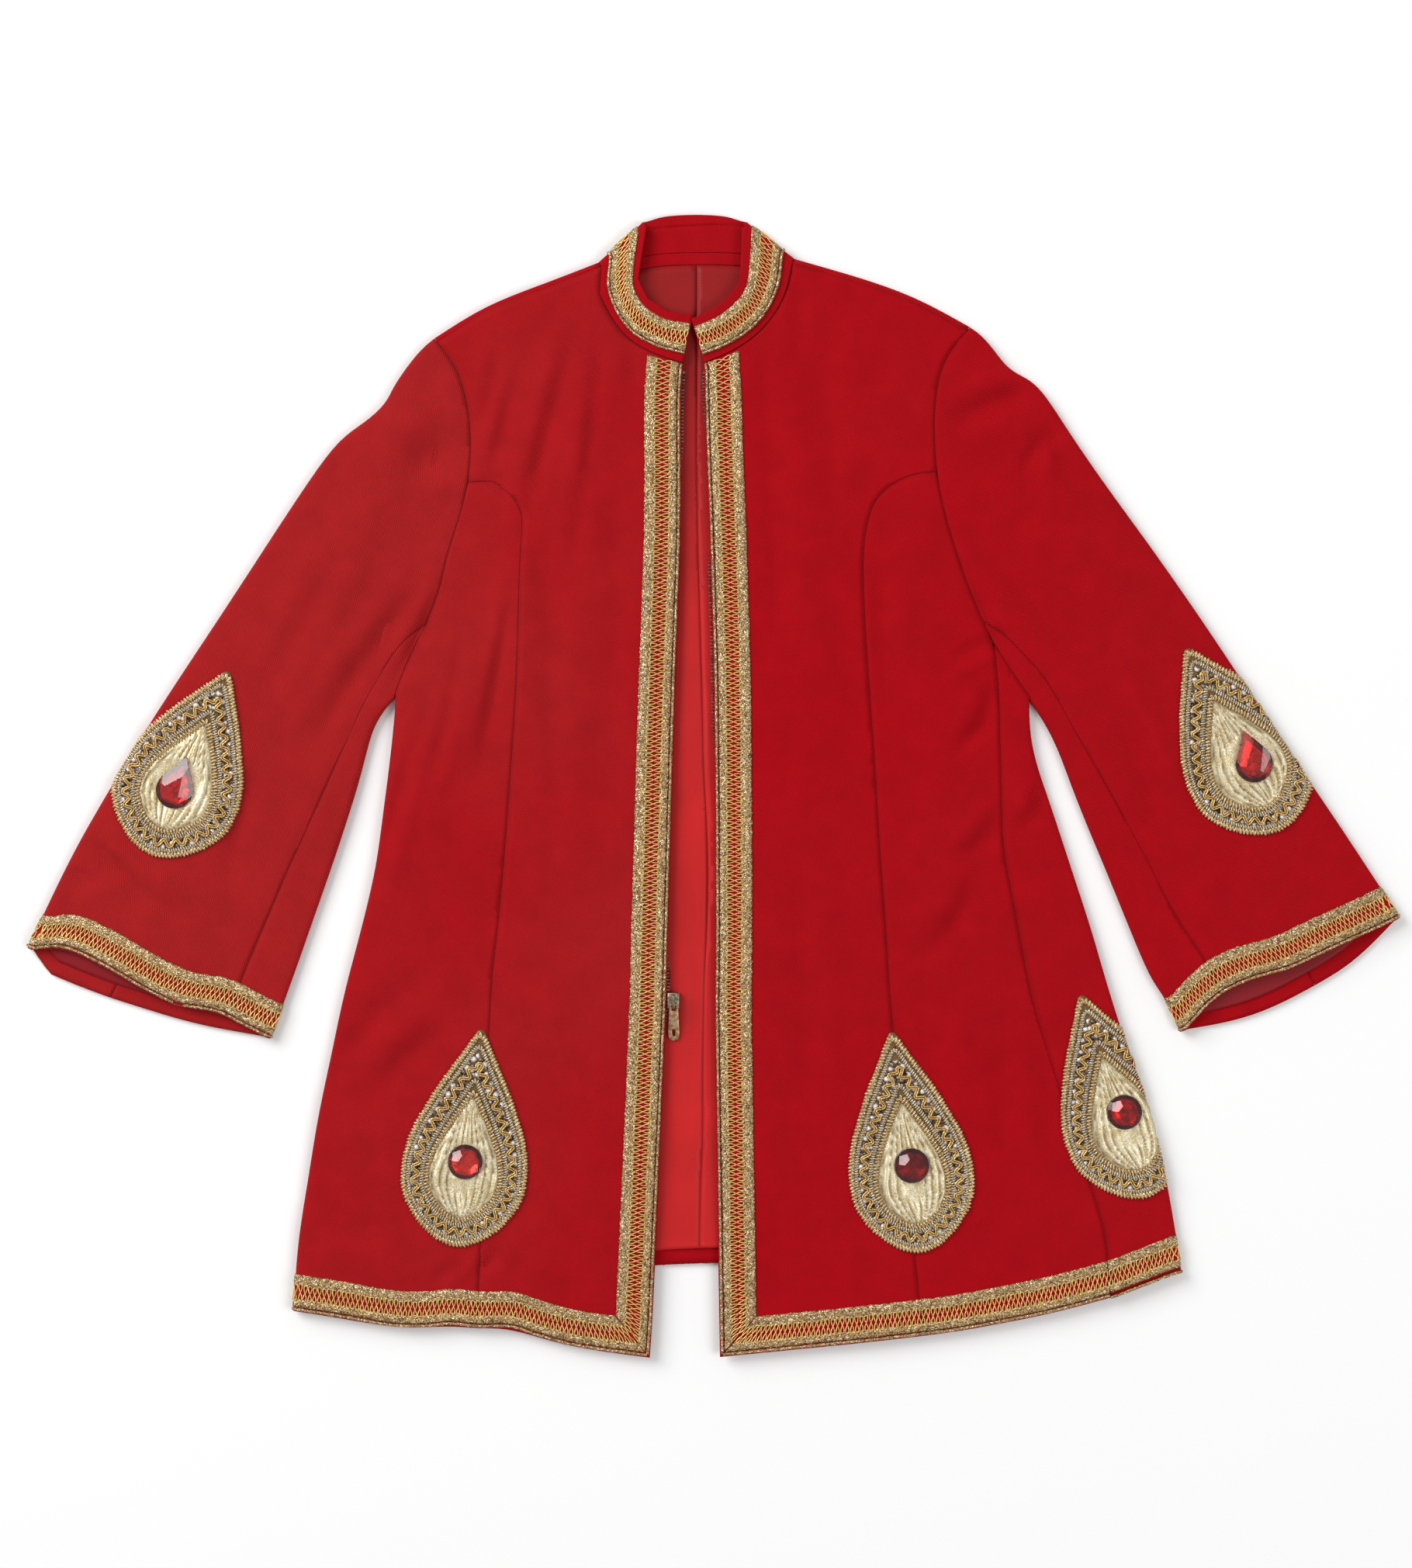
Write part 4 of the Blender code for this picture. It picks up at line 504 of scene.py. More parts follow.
SATIN = shader_group(satin, "satin_lining", ("Colour", "Shade"))
LINING_RED = (0.54, 0.011, 0.012)
# A darker red for the painted shade of the lining towards the neck.
NECK_PAINTED_SHADE_RED = (0.3, 0.006, 0.007)
# The cuff linings are a much darker copy of the lining satin: painted shade for the hollows inside the
# sleeves.
CUFF_PAINTED_SHADE_RED = (0.24, 0.005, 0.01)
LINING_SATIN = cloth_material("lining_satin", SATIN, LINING_RED, NECK_PAINTED_SHADE_RED, 0, 0.05, 0.03, 0.22)
SHADE_PAINTED_CUFF_SATIN = cloth_material("cuff_satin_painted_shade", SATIN, CUFF_PAINTED_SHADE_RED, CUFF_PAINTED_SHADE_RED, 0, 0.05, 0.03, 0.22)
LINING_CREASES = [
    (1.2, 5, [(-16, 220), (-14, 120), (-18, 20), (-16, -60)]),
    (1.0, 4, [(-6, 60), (-9, -60), (-6, -150), (-10, -260)]),
    (1.3, 4.5, [(-24, -20), (-20, -120), (-25, -230), (-20, -320)]),
    (0.9, 3, [(-12, -180), (-14, -260), (-12, -330)]),
    (0.9, 4, [(-60, 350), (-40, 330), (-20, 318)]),
    (1.0, 4, [(20, 352), (8, 334), (0, 322)]),
    (0.9, 1.6, [(-60, -334), (-34, -336), (-10, -337.5), (8, -337), (40, -336)]),
]
LINING_CLOSING = 0.17
LINING_SEAM = (-15, -2)


def press_lining(piece, creases):
    """Crease a lining, and draw the seam down the middle of the back shut below the shoulders."""
    places, normals = corners_of(piece.data)
    places[:, 2] += np.maximum(crease_heights(places[:, :2], creases), 0)
    places[:, 2] += crease_heights(places[:, :2], UNDER_CREASES) * (places[:, 2] < 5)
    first, last = LINING_SEAM
    on_seam = (np.abs(normals[:, 0]) > 0.4) & (places[:, 0] > first) & (places[:, 0] < last)
    closing = LINING_CLOSING * smooth_steps(-places[:, 1], -300, -240)
    places[:, 0] += np.where(on_seam, np.sign(normals[:, 0]) * closing, 0)
    move_corners(piece.data, places)


for node, finish, levels in (("right_back_lining", LINING_SATIN, 2), ("left_back_lining", LINING_SATIN, 2),
                             ("right_sleeve_lining", SHADE_PAINTED_CUFF_SATIN, 3), ("left_sleeve_lining", SHADE_PAINTED_CUFF_SATIN, 3)):
    cloth[node] = cut_cloth(node, finish, levels, wall=1.0)
    press_lining(cloth[node], LINING_CREASES)
    settle(cloth[node], node)


# Braid. Gimp ribbon 27 mm wide: two rough bands of metal-wrapped thread, each beaded along its edge,
# and an open ladder of bright thread looped between them. It is sewn flat along every edge.
class Ground:
    """The finished cloth under a trim, as places and normals over travel along it and width across it."""

    def __init__(self, travel, widths, places, normals):
        self.travel, self.widths, self.places, self.normals = travel, widths, places, normals
        self.length = float(travel[-1])

    def at(self, along, across, height):
        """Places at mm of travel, width and height above the cloth, and the normals there."""
        along, across, height = np.broadcast_arrays(along, across, height)
        row = np.interp(along, self.travel, np.arange(len(self.travel)))
        column = (across - self.widths[0]) / (self.widths[1] - self.widths[0])
        i = np.minimum(row.astype(int), len(self.travel) - 2)
        j = np.clip(column.astype(int), 0, len(self.widths) - 2)
        u, v = (row - i)[..., None], (column - j)[..., None]
        found = []
        for grid in (self.places, self.normals):
            found.append(grid[i, j] * (1 - u) * (1 - v) + grid[i + 1, j] * u * (1 - v)
                         + grid[i, j + 1] * (1 - u) * v + grid[i + 1, j + 1] * u * v)
        return found[0] + found[1] * height[..., None] * MM, found[1]


def smooth_line(points, step=2.0):
    """Evenly spaced places along a smooth curve through the points, in mm."""
    knots = [np.array(point, float) for point in points]
    knots = [2 * knots[0] - knots[1]] + knots + [2 * knots[-1] - knots[-2]]
    fine = []
    for a, b, c, d in zip(knots, knots[1:], knots[2:], knots[3:]):
        before, span, after = (np.linalg.norm(q - p) for p, q in ((a, b), (b, c), (c, d)))
        leave, arrive = (c - a) * span / (before + span), (d - b) * span / (after + span)
        for t in np.arange(12) / 12:
            fine.append(b * (2 * t**3 - 3 * t**2 + 1) + leave * (t**3 - 2 * t**2 + t)
                        + c * (3 * t**2 - 2 * t**3) + arrive * (t**3 - t**2))
    fine = np.array(fine + [knots[-2]])
    travel = np.r_[0, np.cumsum(np.linalg.norm(np.diff(fine, axis=0), axis=1))]
    wanted = np.linspace(0, travel[-1], max(2, int(travel[-1] / step)) + 1)
    return np.stack([np.interp(wanted, travel, axis) for axis in fine.T], 1)


def cloth_tree(nodes):
    corners, faces = [], []
    for node in nodes:
        mesh = cloth[node].data
        start = len(corners)
        corners += [vert.co.copy() for vert in mesh.vertices]
        faces += [[start + k for k in face.vertices] for face in mesh.polygons]
    return BVHTree.FromPolygons(corners, faces)


WOOL_TREE = cloth_tree([node for node in cloth if "lining" not in node and "facing" not in node
                        and node != "collar"])
COLLAR_TREE = cloth_tree(["collar"])
FOLD_RADIUS = 3.4
FOLD_MIDDLE = 4.6
FOLD_LENGTH = 12.0
LOOK = 26.0
BRAID_REACH = (0.5, 27.5)


def unit(vectors):
    return vectors / np.maximum(np.linalg.norm(vectors, axis=-1, keepdims=True), 1e-12)


def cloth_at(tree, target, look):
    """The place on the cloth that is met when a spot is looked at from outside, or else the nearest."""
    found = tree.ray_cast(Vector((target + look * LOOK) * MM), Vector(-look))[0]
    return tree.find_nearest(Vector((target + look * 4) * MM))[0] if found is None else found


def fold_looks(outward, up):
    """The sides to look from on the way round a fold, from above where up is 1."""
    for angle in math.pi * np.arange(1, 8) / 8:
        yield np.array([0, 0, up]) * math.cos(angle) + np.array([*outward, 0.0]) * math.sin(angle)


class Path:
    """The way a trim takes: flat stretches over or under the jacket, and turns round its folds."""

    def __init__(self, tree):
        self.tree = tree
        self.travel, self.near, self.across, self.look = [0.0], [], [], []

    def stretch(self, near, far_way, up):
        """A stretch along a line, with the way across it at its start and its end."""
        first, last = (np.array(way, float) / np.linalg.norm(way) for way in far_way)
        for k, place in enumerate(near):
            share = k / (len(near) - 1)
            way = first * (1 - share) + last * share
            self.add(np.array([*place[:2], FOLD_MIDDLE]), np.array([*way[:2], 0.0]), np.array([0, 0, up]))
        return self

    def turn(self, centre, way, outward, up):
        """A turn round a fold, from its upper side to the lower one where up is 1."""
        way = np.array([*way, 0.0]) / np.hypot(*way)
        for look in fold_looks(np.array(outward) / np.hypot(*outward), up):
            self.add(np.array([*centre, FOLD_MIDDLE]), way, look, FOLD_LENGTH / 8)
        return self

    def add(self, near, across, look, step=None):
        if self.near:
            step = np.linalg.norm(near - self.near[-1]) if step is None else step
            self.travel.append(self.travel[-1] + max(step, 0.3))
        self.near.append(near)
        self.across.append(across)
        self.look.append(look)

    def ground(self):
        """The cloth found by looking at it from outside, all along the path."""
        widths = np.linspace(*BRAID_REACH, 14)
        places = np.zeros((len(self.near), len(widths), 3))
        for i, (near, across, look) in enumerate(zip(self.near, self.across, self.look)):
            for j, reach in enumerate(widths):
                places[i, j] = cloth_at(self.tree, near + across * reach, look)
        return smooth_ground(np.array(self.travel), widths, places, np.array(self.look)[:, None])


def smooth_ground(travel, widths, places, looks):
    """The ground on a grid of places, eased a little, with normals towards those who look at it."""
    for _ in range(2):
        places[1:-1] = (places[:-2] + 2 * places[1:-1] + places[2:]) / 4
    normals = unit(np.cross(np.gradient(places, axis=0), np.gradient(places, axis=1)))
    facing = np.sum(normals * looks, axis=2, keepdims=True)
    normals *= np.where(facing < 0, -1, 1)
    return Ground(travel, widths, places, normals)


def tube(path, normals, radius, sides=4, closed=False):
    """A round cord along a path: its places and its faces."""
    if closed:
        tangent = np.roll(path, -1, axis=0) - np.roll(path, 1, axis=0)
    else:
        tangent = np.gradient(path, axis=0)
    side = unit(np.cross(tangent, normals))
    top = unit(np.cross(side, tangent))
    turn = 2 * np.pi * np.arange(sides) / sides
    radius = np.broadcast_to(radius, len(path))[:, None, None] * MM
    rings = path[:, None] + radius * (np.cos(turn)[None, :, None] * side[:, None]
                                      + np.sin(turn)[None, :, None] * top[:, None])
    return wrapped(rings, closed)


def wrapped(rings, closed=False):
    """Faces round a row of rings with as many places each, capped at both ends unless it is closed."""
    rows, sides = rings.shape[:2]
    index = np.arange(rows * sides).reshape(rows, sides)
    after = np.roll(index, -1, axis=0) if closed else index[1:]
    before = index if closed else index[:-1]
    quads = np.stack([before, np.roll(before, -1, axis=1), np.roll(after, -1, axis=1), after], -1)
    faces = quads.reshape(-1, 4).tolist()
    if not closed:
        faces += [index[0][::-1].tolist(), index[-1].tolist()]
    return rings.reshape(-1, 3), faces


def sewn_piece(name, parts, finishes):
    """One object from parts, each its places, its faces, and the number of its finish."""
    corners, faces, numbers, start = [], [], [], 0
    for places, part_faces, number in parts:
        corners.append(places)
        faces += [[start + k for k in face] for face in part_faces]
        numbers += [number] * len(part_faces)
        start += len(places)
    mesh = bpy.data.meshes.new(name)
    mesh.from_pydata(np.concatenate(corners).tolist(), [], faces)
    mesh.polygons.foreach_set("material_index", numbers)
    for finish in finishes:
        mesh.materials.append(finish)
    bm = bmesh.new()
    bm.from_mesh(mesh)
    bmesh.ops.recalc_face_normals(bm, faces=bm.faces)
    bm.to_mesh(mesh)
    bm.free()
    mesh.shade_smooth()
    piece = bpy.data.objects.new(name, mesh)
    bpy.context.scene.collection.objects.link(piece)
    return piece


def cells(tree, place, scale):
    """Small cells: the distance from their middles, and two tones that change from cell to cell."""
    found = add_node(tree, "ShaderNodeTexVoronoi", {"Scale": scale, "Vector": place}).outputs
    tones = add_node(tree, "ShaderNodeSeparateColor", {0: found["Color"]}).outputs
    return found["Distance"], tones[0], tones[1]


def tinsel(tree, place, dark, gold, pale):
    """Metal-wrapped thread: tiny turns of brown, gold and silver that catch the light at random."""
    distance, tone, dullness = cells(tree, place, 1500)
    lean = reckon(tree, "SUBTRACT", noise(tree, place, 420, 2), 0.5)
    spread = reckon(tree, "MULTIPLY_ADD", lean, 0.9, tone)
    golden = blend(tree, remap(tree, spread, 0.18, 0.42), dark, gold)
    colour = blend(tree, remap(tree, spread, 0.76, 0.96), golden, pale)
    metal = remap(tree, spread, 0.3, 0.9, 0.25, 0.8)
    return colour, remap(tree, dullness, 0, 1, 0.55, 0.22), metal, reckon(tree, "SUBTRACT", 1.0, distance)


TINSEL = shader_group(tinsel, "tinsel", ("Dark", "Gold", "Pale"),
                      ("Colour", "Roughness", "Metallic", "Height"))


def tinsel_material(name, dark, gold, pale, depth=0.35):
    colours = {"Dark": dark, "Gold": gold, "Pale": pale}
    return group_finish(name, TINSEL, colours, 0.9, depth, {"Specular IOR Level": 0.5})


BAND_GOLD = tinsel_material("braid_band", (0.095, 0.047, 0.018), (0.42, 0.252, 0.09), (0.89, 0.75, 0.52))
LADDER_GOLD = tinsel_material("ladder_thread", (0.6, 0.35, 0.08), (0.95, 0.68, 0.22), (1.0, 0.9, 0.5), 0.1)

CORD_WIDTH = 1.9
CORD = 1.1
CORD_STEP = 1.2
BAND_STEP = 1.1
BAND_POINTS = 7
FIRST_BAND = (3.5, 9.6)
LAST_BAND = (18.8, 27.0)
LADDER_MIDDLE = 14.2
LADDER_REACH = 6.0
LADDER_PITCH = 3.5
LOOP_DRIFT = 1.3
LOOP_POINTS = 13
THREAD = 0.4
END_GAP = 0.6
jitter = np.random.default_rng(7)


def band(ground, start, end, low, high):
    """One rough band between two widths. start and end give its ends for each width across it."""
    widths = np.linspace(low, high, BAND_POINTS)
    rows = max(2, int(ground.length / BAND_STEP))
    size = (rows, BAND_POINTS)
    share = np.linspace(0, 1, rows)[:, None]
    first = np.array([start(width) for width in widths])
    last = np.array([end(width) for width in widths])
    along = first + (last - first) * share
    profile = 0.35 + 0.95 * np.sin(np.pi * np.linspace(0.07, 0.93, BAND_POINTS))**0.45
    height = profile + jitter.normal(0, 0.17, size)
    ragged = jitter.normal(0, 0.1, size)
    ragged[:, [0, -1]] *= 2.2
    across = widths + ragged
    top = ground.at(along + jitter.normal(0, 0.12, size) * (share > 0) * (share < 1), across, height)[0]
    foot = [ground.at(along[:, k], across[:, k], 0.02)[0][:, None] for k in (-1, 0)]
    return wrapped(np.concatenate([top, *foot], axis=1))


def ladder(ground, start, end):
    """The looped thread between the bands: a row of figures of eight across the braid."""
    first, last = start(LADDER_MIDDLE), end(LADDER_MIDDLE)
    count = max(2, round((last - first) / LADDER_PITCH))
    angle = 2 * np.pi * np.arange(LOOP_POINTS) / LOOP_POINTS
    double = np.sin(2 * angle)
    skew_start, skew_end = start(0.0) - start(1.0), end(0.0) - end(1.0)
    loops = []
    for k in range(count):
        share = (k + 0.5) / count
        across = jitter.normal(0, 0.2) + (LADDER_REACH + jitter.normal(0, 0.25)) * np.sin(angle)
        along = first + (last - first) * share + LOOP_DRIFT * np.sign(double) * np.abs(double)**0.75
        lean = jitter.normal(0, 0.05) - skew_start * (1 - share)**(count / 5) - skew_end * share**(count / 5)
        height = 0.95 + 0.36 * np.cos(angle) + 0.55 * np.abs(np.sin(angle))**4
        path, normals = ground.at(along + lean * across, LADDER_MIDDLE + across, height)
        loops.append(tube(path, normals, THREAD, closed=True))
    return loops


def edge_cord(ground, start, end, width):
    """The beaded cord along the outer edge of a braid."""
    count = max(4, int((end(width) - start(width)) / CORD_STEP))
    along = np.linspace(start(width), end(width), count)
    path, normals = ground.at(along, width + jitter.normal(0, 0.08, count), CORD * 0.85)
    return tube(path, normals, CORD * jitter.uniform(0.8, 1.15, count), 6)


def braid(node, ground, start=lambda width: END_GAP, end=None, cord_width=CORD_WIDTH):
    """A whole braid on its cloth, which stands for the CAD one."""
    stop = end or (lambda width: ground.length - END_GAP)
    parts = [(*band(ground, start, stop, *FIRST_BAND), 0), (*band(ground, start, stop, *LAST_BAND), 0),
             (*edge_cord(ground, start, stop, cord_width), 0)]
    parts += [(*loop, 1) for loop in ladder(ground, start, stop)]
    piece = sewn_piece(node + "_gimp", parts, [BAND_GOLD, LADDER_GOLD])
    settle(piece, node)


RIGHT_FRONT_EDGE = [(-21.5, 307.4), (-23, 285), (-23, 232), (-23.5, 176), (-27.5, 63), (-32.5, -106),
                    (-34, -163), (-44, -388), (-46, -417)]
LEFT_FRONT_EDGE = [(-6.5, 307.4), (-5.5, 255), (-2.5, 176), (0.5, 63), (1.5, -106), (1.1, -163),
                   (4.5, -388), (5, -416.5)]
RIGHT_HEM = [(-46, -417), (-101.1, -409.2), (-129.4, -401.4), (-146.3, -395.8), (-171.8, -395.5),
             (-191.5, -393.6), (-211.3, -395.5), (-236.7, -394.4), (-267.8, -388.7), (-302.3, -383.4)]
LEFT_HEM = [(5, -416.5), (107.9, -406.2), (153, -401.1), (175.7, -398.3), (243.5, -385.3), (289.2, -373.4)]
BACK_HEM = [(-294, -386.5), (-265, -388.7), (-180.2, -368.9), (-95.5, -354.8), (-10.7, -348.6),
            (158.8, -348.6), (300, -352), (337.3, -355)]
LEFT_HEM_RETURN = [(337.3, -355), (289.8, -373.2)]


def front_ground(edge, neck_way, side):
    """The ground of a front braid, whose top is cut along the neck seam."""
    line = smooth_line(edge)
    path = Path(WOOL_TREE).stretch(line[:14], (neck_way, (side, 0)), 1)
    return path.stretch(line[14:], ((side, 0), (side, 0)), 1).ground()


right_ground = front_ground(RIGHT_FRONT_EDGE, (-25.4, 6.4), -1)
left_ground = front_ground(LEFT_FRONT_EDGE, (25.1, 9.4), 1)
MITRE_GAP = 0.4
RIGHT_MITRE = 1.14
LEFT_MITRE = 1.1
braid("right_front_braid", right_ground,
      end=lambda width: right_ground.length - MITRE_GAP - RIGHT_MITRE * width)
braid("left_front_braid", left_ground, end=lambda width: left_ground.length - MITRE_GAP - LEFT_MITRE * width)

right_hem_path = Path(WOOL_TREE).stretch(smooth_line(RIGHT_HEM), ((0.07, 1), (0.07, 1)), 1)
right_hem_path.turn((-302.3, -383.4), (0.07, 1), (-1, 0.07), 1)
right_hem_path.stretch(smooth_line([(-302, -383.5), (-294.4, -386.3)]), ((0.07, 1), (0.07, 1)), -1)
right_hem_ground = right_hem_path.ground()
braid("right_hem_braid", right_hem_ground, start=lambda width: MITRE_GAP + width)
left_hem_ground = Path(WOOL_TREE).stretch(smooth_line(LEFT_HEM), ((0.0, 1), (-0.1, 1)), 1).ground()
braid("left_hem_braid", left_hem_ground, start=lambda width: MITRE_GAP + width,
      end=lambda width: left_hem_ground.length + 0.4)
back_hem_path = Path(WOOL_TREE).stretch(smooth_line(BACK_HEM), ((0.07, 1), (-0.1, 1)), -1)
back_hem_path.turn((337.3, -355), (-0.1, 1), (1, 0.1), -1)
back_hem_path.stretch(smooth_line(LEFT_HEM_RETURN), ((-0.1, 1), (-0.1, 1)), 1)
back_hem_ground = back_hem_path.ground()
braid("back_hem_braid", back_hem_ground, end=lambda width: back_hem_ground.length + 0.3, cord_width=0.2)

RIGHT_CUFF_FRONT = [(-496.4, -120.1), (-474, -119.2), (-445.8, -131.1), (-410.8, -150.9), (-389.8, -160.5),
                    (-361.6, -166.1), (-340.7, -176.3), (-326.4, -183.6)]
RIGHT_CUFF_BACK = [(-326.4, -183.6), (-375.7, -174.6), (-418.1, -162.2), (-459.9, -148), (-489.9, -133.9),
                   (-496.4, -120.1)]
LEFT_CUFF_FRONT = [(497.7, -98.5), (479.7, -106.8), (446.9, -121.5), (419.8, -133.9), (393.2, -141.8),
                   (373.5, -150.9), (359.9, -161.6), (344.5, -178.3)]
LEFT_CUFF_BACK = [(344.5, -178.3), (380.2, -172.3), (406.8, -163.3), (440.1, -145.8), (466.7, -129.9),
                  (486.5, -110.7), (497.7, -98.5)]
for node, front, back, outer_way, inner_way in (
        ("right_cuff_braid", RIGHT_CUFF_FRONT, RIGHT_CUFF_BACK, (13, 27.1), (9.8, 25.8)),
        ("left_cuff_braid", LEFT_CUFF_FRONT, LEFT_CUFF_BACK, (-16.1, 25.1), (-10.8, 24.2))):
    toward = 1 if node.startswith("right") else -1
    path = Path(WOOL_TREE).stretch(smooth_line(front), (outer_way, inner_way), 1)
    path.turn(front[-1], inner_way, (inner_way[1] * toward, -inner_way[0] * toward), 1)
    path.stretch(smooth_line(back), (inner_way, outer_way), -1)
    path.turn(front[0], outer_way, (-outer_way[1] * toward, outer_way[0] * toward), -1)
    path.stretch(smooth_line(front)[:3], (outer_way, outer_way), 1)
    braid(node, path.ground())

# Collar braid. The same gimp, eased round the middle of the stand collar and sewn through it, with a
# strip of wool left bare at both sides. It turns under with the collar at both shoulders.
RIGHT_NECK = [(-81.1, 377.8), (-84, 364), (-74.6, 340.7), (-61, 323.7), (-46.9, 315.3), (-21.5, 307.4)]
LEFT_NECK = [(57.3, 380.3), (55.4, 363.9), (46.9, 345.2), (32.8, 328.3), (18.6, 318.1), (-6.5, 307.4)]
BACK_NECK = [(-80.3, 378.5), (-60, 386.6), (-12, 388.4), (38, 387.6), (56.5, 380.8)]
RIGHT_COLLAR_TOP = [(-48.2, 406.6), (-51.5, 386), (-54.3, 368), (-47.5, 354.3), (-33.3, 345), (-14.7, 342.4)]
LEFT_COLLAR_TOP = [(21.2, 406.6), (20.5, 386), (19.4, 367), (12.4, 356), (0, 346.2), (-16, 339.4)]
BACK_COLLAR_TOP = [(-47.3, 410.6), (-37, 415.3), (-12.7, 416.6), (11, 415.4), (20.8, 410.6)]
COLLAR_ROOM = (0.16, 0.84)
COLLAR_MIDDLE = 6.0
BRAID_ROOM = 28.0


def eased(points, shares):
    """Places on a smooth curve through the points, at shares of the way from the first to the last."""
    points = np.array(points, float)
    padded = np.concatenate([2 * points[:1] - points[1:2], points, 2 * points[-1:] - points[-2:-1]])
    reach = np.asarray(shares) * (len(points) - 1)
    k = np.minimum(reach.astype(int), len(points) - 2)
    t = (reach - k)[:, None]
    a, b, c, d = (padded[k + n] for n in range(4))
    return 0.5 * (2 * b + (c - a) * t + (2 * a - 5 * b + 4 * c - d) * t**2 + (3 * b - a - 3 * c + d) * t**3)


def round_collar(path, neck, top, shares, up):
    """A stretch of the braid's path round the collar, from its neck seam towards its top edge."""
    seam = smooth_line(neck, 1.0)
    knots = seam[np.linspace(0, len(seam) - 1, len(top)).round().astype(int)]
    for low, high in zip(eased(knots, shares), eased(top, shares)):
        collar_step(path, low, high, np.array([0, 0, up]))


def collar_step(path, low, high, look, step=None):
    near, far = (np.array([*(low + (high - low) * share), COLLAR_MIDDLE]) for share in COLLAR_ROOM)
    path.add(near, (far - near) / BRAID_ROOM, look, step)


def round_collar_fold(path, low, high, outward, up):
    for look in fold_looks(outward, up):
        collar_step(path, np.array(low), np.array(high), look, FOLD_LENGTH / 8)


collar_path = Path(COLLAR_TREE)
round_collar(collar_path, RIGHT_NECK, RIGHT_COLLAR_TOP, np.linspace(1, 0, 60), 1)
round_collar_fold(collar_path, BACK_NECK[0], BACK_COLLAR_TOP[0], (-0.66, 0.75), 1)
round_collar(collar_path, BACK_NECK, BACK_COLLAR_TOP, np.linspace(0.01, 0.99, 60), -1)
round_collar_fold(collar_path, BACK_NECK[-1], BACK_COLLAR_TOP[-1], (0.6, 0.8), -1)
round_collar(collar_path, LEFT_NECK, LEFT_COLLAR_TOP, np.linspace(0, 1, 60), 1)
braid("collar_braid", collar_path.ground())

# Patches. Teardrops of gold cloth of metal thread, gathered by hand over a stiff backing. Coiled gimp
# rings the edge and the middle, and a wavy double cord lies between them on loose cupped sequins.
def gathered_gold():
    """Thin cloth of flat metal thread: fine ribs and tiny bright facets, with painted shade in its folds and
    dark brown in the sequins' channel.
    """
    finish, tree, shader, place = new_finish("gathered_gold_cloth")
    tone, dullness = cells(tree, place, 1500)[1:]
    woven = reckon(tree, "MULTIPLY_ADD", stripes(tree, place, 430, 2.5, 1, "Y"), 0.5, tone)
    mixed = reckon(tree, "MULTIPLY_ADD", woven, 0.5, noise(tree, place, 120, 3))
    golden = blend(tree, remap(tree, mixed, 0.5, 1.2), (0.52, 0.37, 0.13, 1), (1.0, 0.94, 0.7, 1))
    # Dark brown mixed in: painted shade in the pleats' valleys, and the plain dark of the sequins' channel.
    fold = add_node(tree, "ShaderNodeAttribute", {}, attribute_name="pleat_shade_and_channel_dark").outputs["Fac"]
    feed(tree, shader, {"Base Color": blend(tree, fold, golden, (0.2, 0.115, 0.04, 1)), "Metallic": 0.5,
                        "Roughness": remap(tree, dullness, 0, 1, 0.5, 0.24),
                        "Normal": bumped(tree, 0.7, 0.25, mixed)})
    return finish


GATHERED_GOLD = gathered_gold()
GIMP_GOLD = tinsel_material("gimp_gold", (0.32, 0.19, 0.07), (0.75, 0.54, 0.26), (0.98, 0.88, 0.66), 0.15)
GIMP_SILVER = tinsel_material("gimp_silver", (0.34, 0.25, 0.15), (0.74, 0.6, 0.4), (1.0, 0.97, 0.9), 0.2)
CORD_ORANGE = tinsel_material("wavy_cord", (0.38, 0.2, 0.05), (0.74, 0.47, 0.15), (0.92, 0.7, 0.32), 0.1)


def sequin_finish(name, body, glint, metal):
    """Thin clear plastic with a metal film: one colour, with a glint that shifts from disc to disc."""
    finish, tree, shader, place = new_finish(name)
    tone, dullness = cells(tree, place, 260)[1:]
    feed(tree, shader, {"Base Color": blend(tree, tone, (*body, 1), (*glint, 1)), "Metallic": metal,
                        "Roughness": remap(tree, dullness, 0, 1, 0.12, 0.35), "Coat Weight": 0.6})
    return finish


SMOKE_SEQUIN = sequin_finish("smoke_sequin", (0.12, 0.07, 0.04), (0.36, 0.27, 0.19), 0.5)
FROST_SEQUIN = sequin_finish("frost_sequin", (0.85, 0.72, 0.68), (1.0, 0.96, 0.94), 0.1)

# Each teardrop: x and y of its round end's centre, radius, distance to its tip, lean in degrees.
RIGHT_SLEEVE_DROP = (-391.8, -7.4, 46.8, 99, -23.5)
LEFT_SLEEVE_DROP = (392, 10, 48, 102, 28)
RIGHT_HEM_DROP = (-182.2, -290, 46, 114, -6.9)
LEFT_HEM_DROP = (145.8, -295, 45.5, 117.5, 7.8)
LEFT_SIDE_DROP = (303, -256, 46, 110, 19)
RIGHT_SLEEVE_FOLD = [(-320, 183), (-350, 136.5), (-381, 90), (-412, 43.5), (-441, -5.5), (-466, -48),
                     (-486.5, -91.5)]
LEFT_SLEEVE_FOLD = [(315, 179), (344, 138), (373, 95), (402, 50.5), (432, 5.5), (484.5, -71.5)]
LEFT_SIDE_FOLD = [(275.7, -106), (288.7, -151), (303.4, -196.6), (318.7, -241.8), (329.4, -287),
                  (337.3, -332), (340.7, -354.8)]
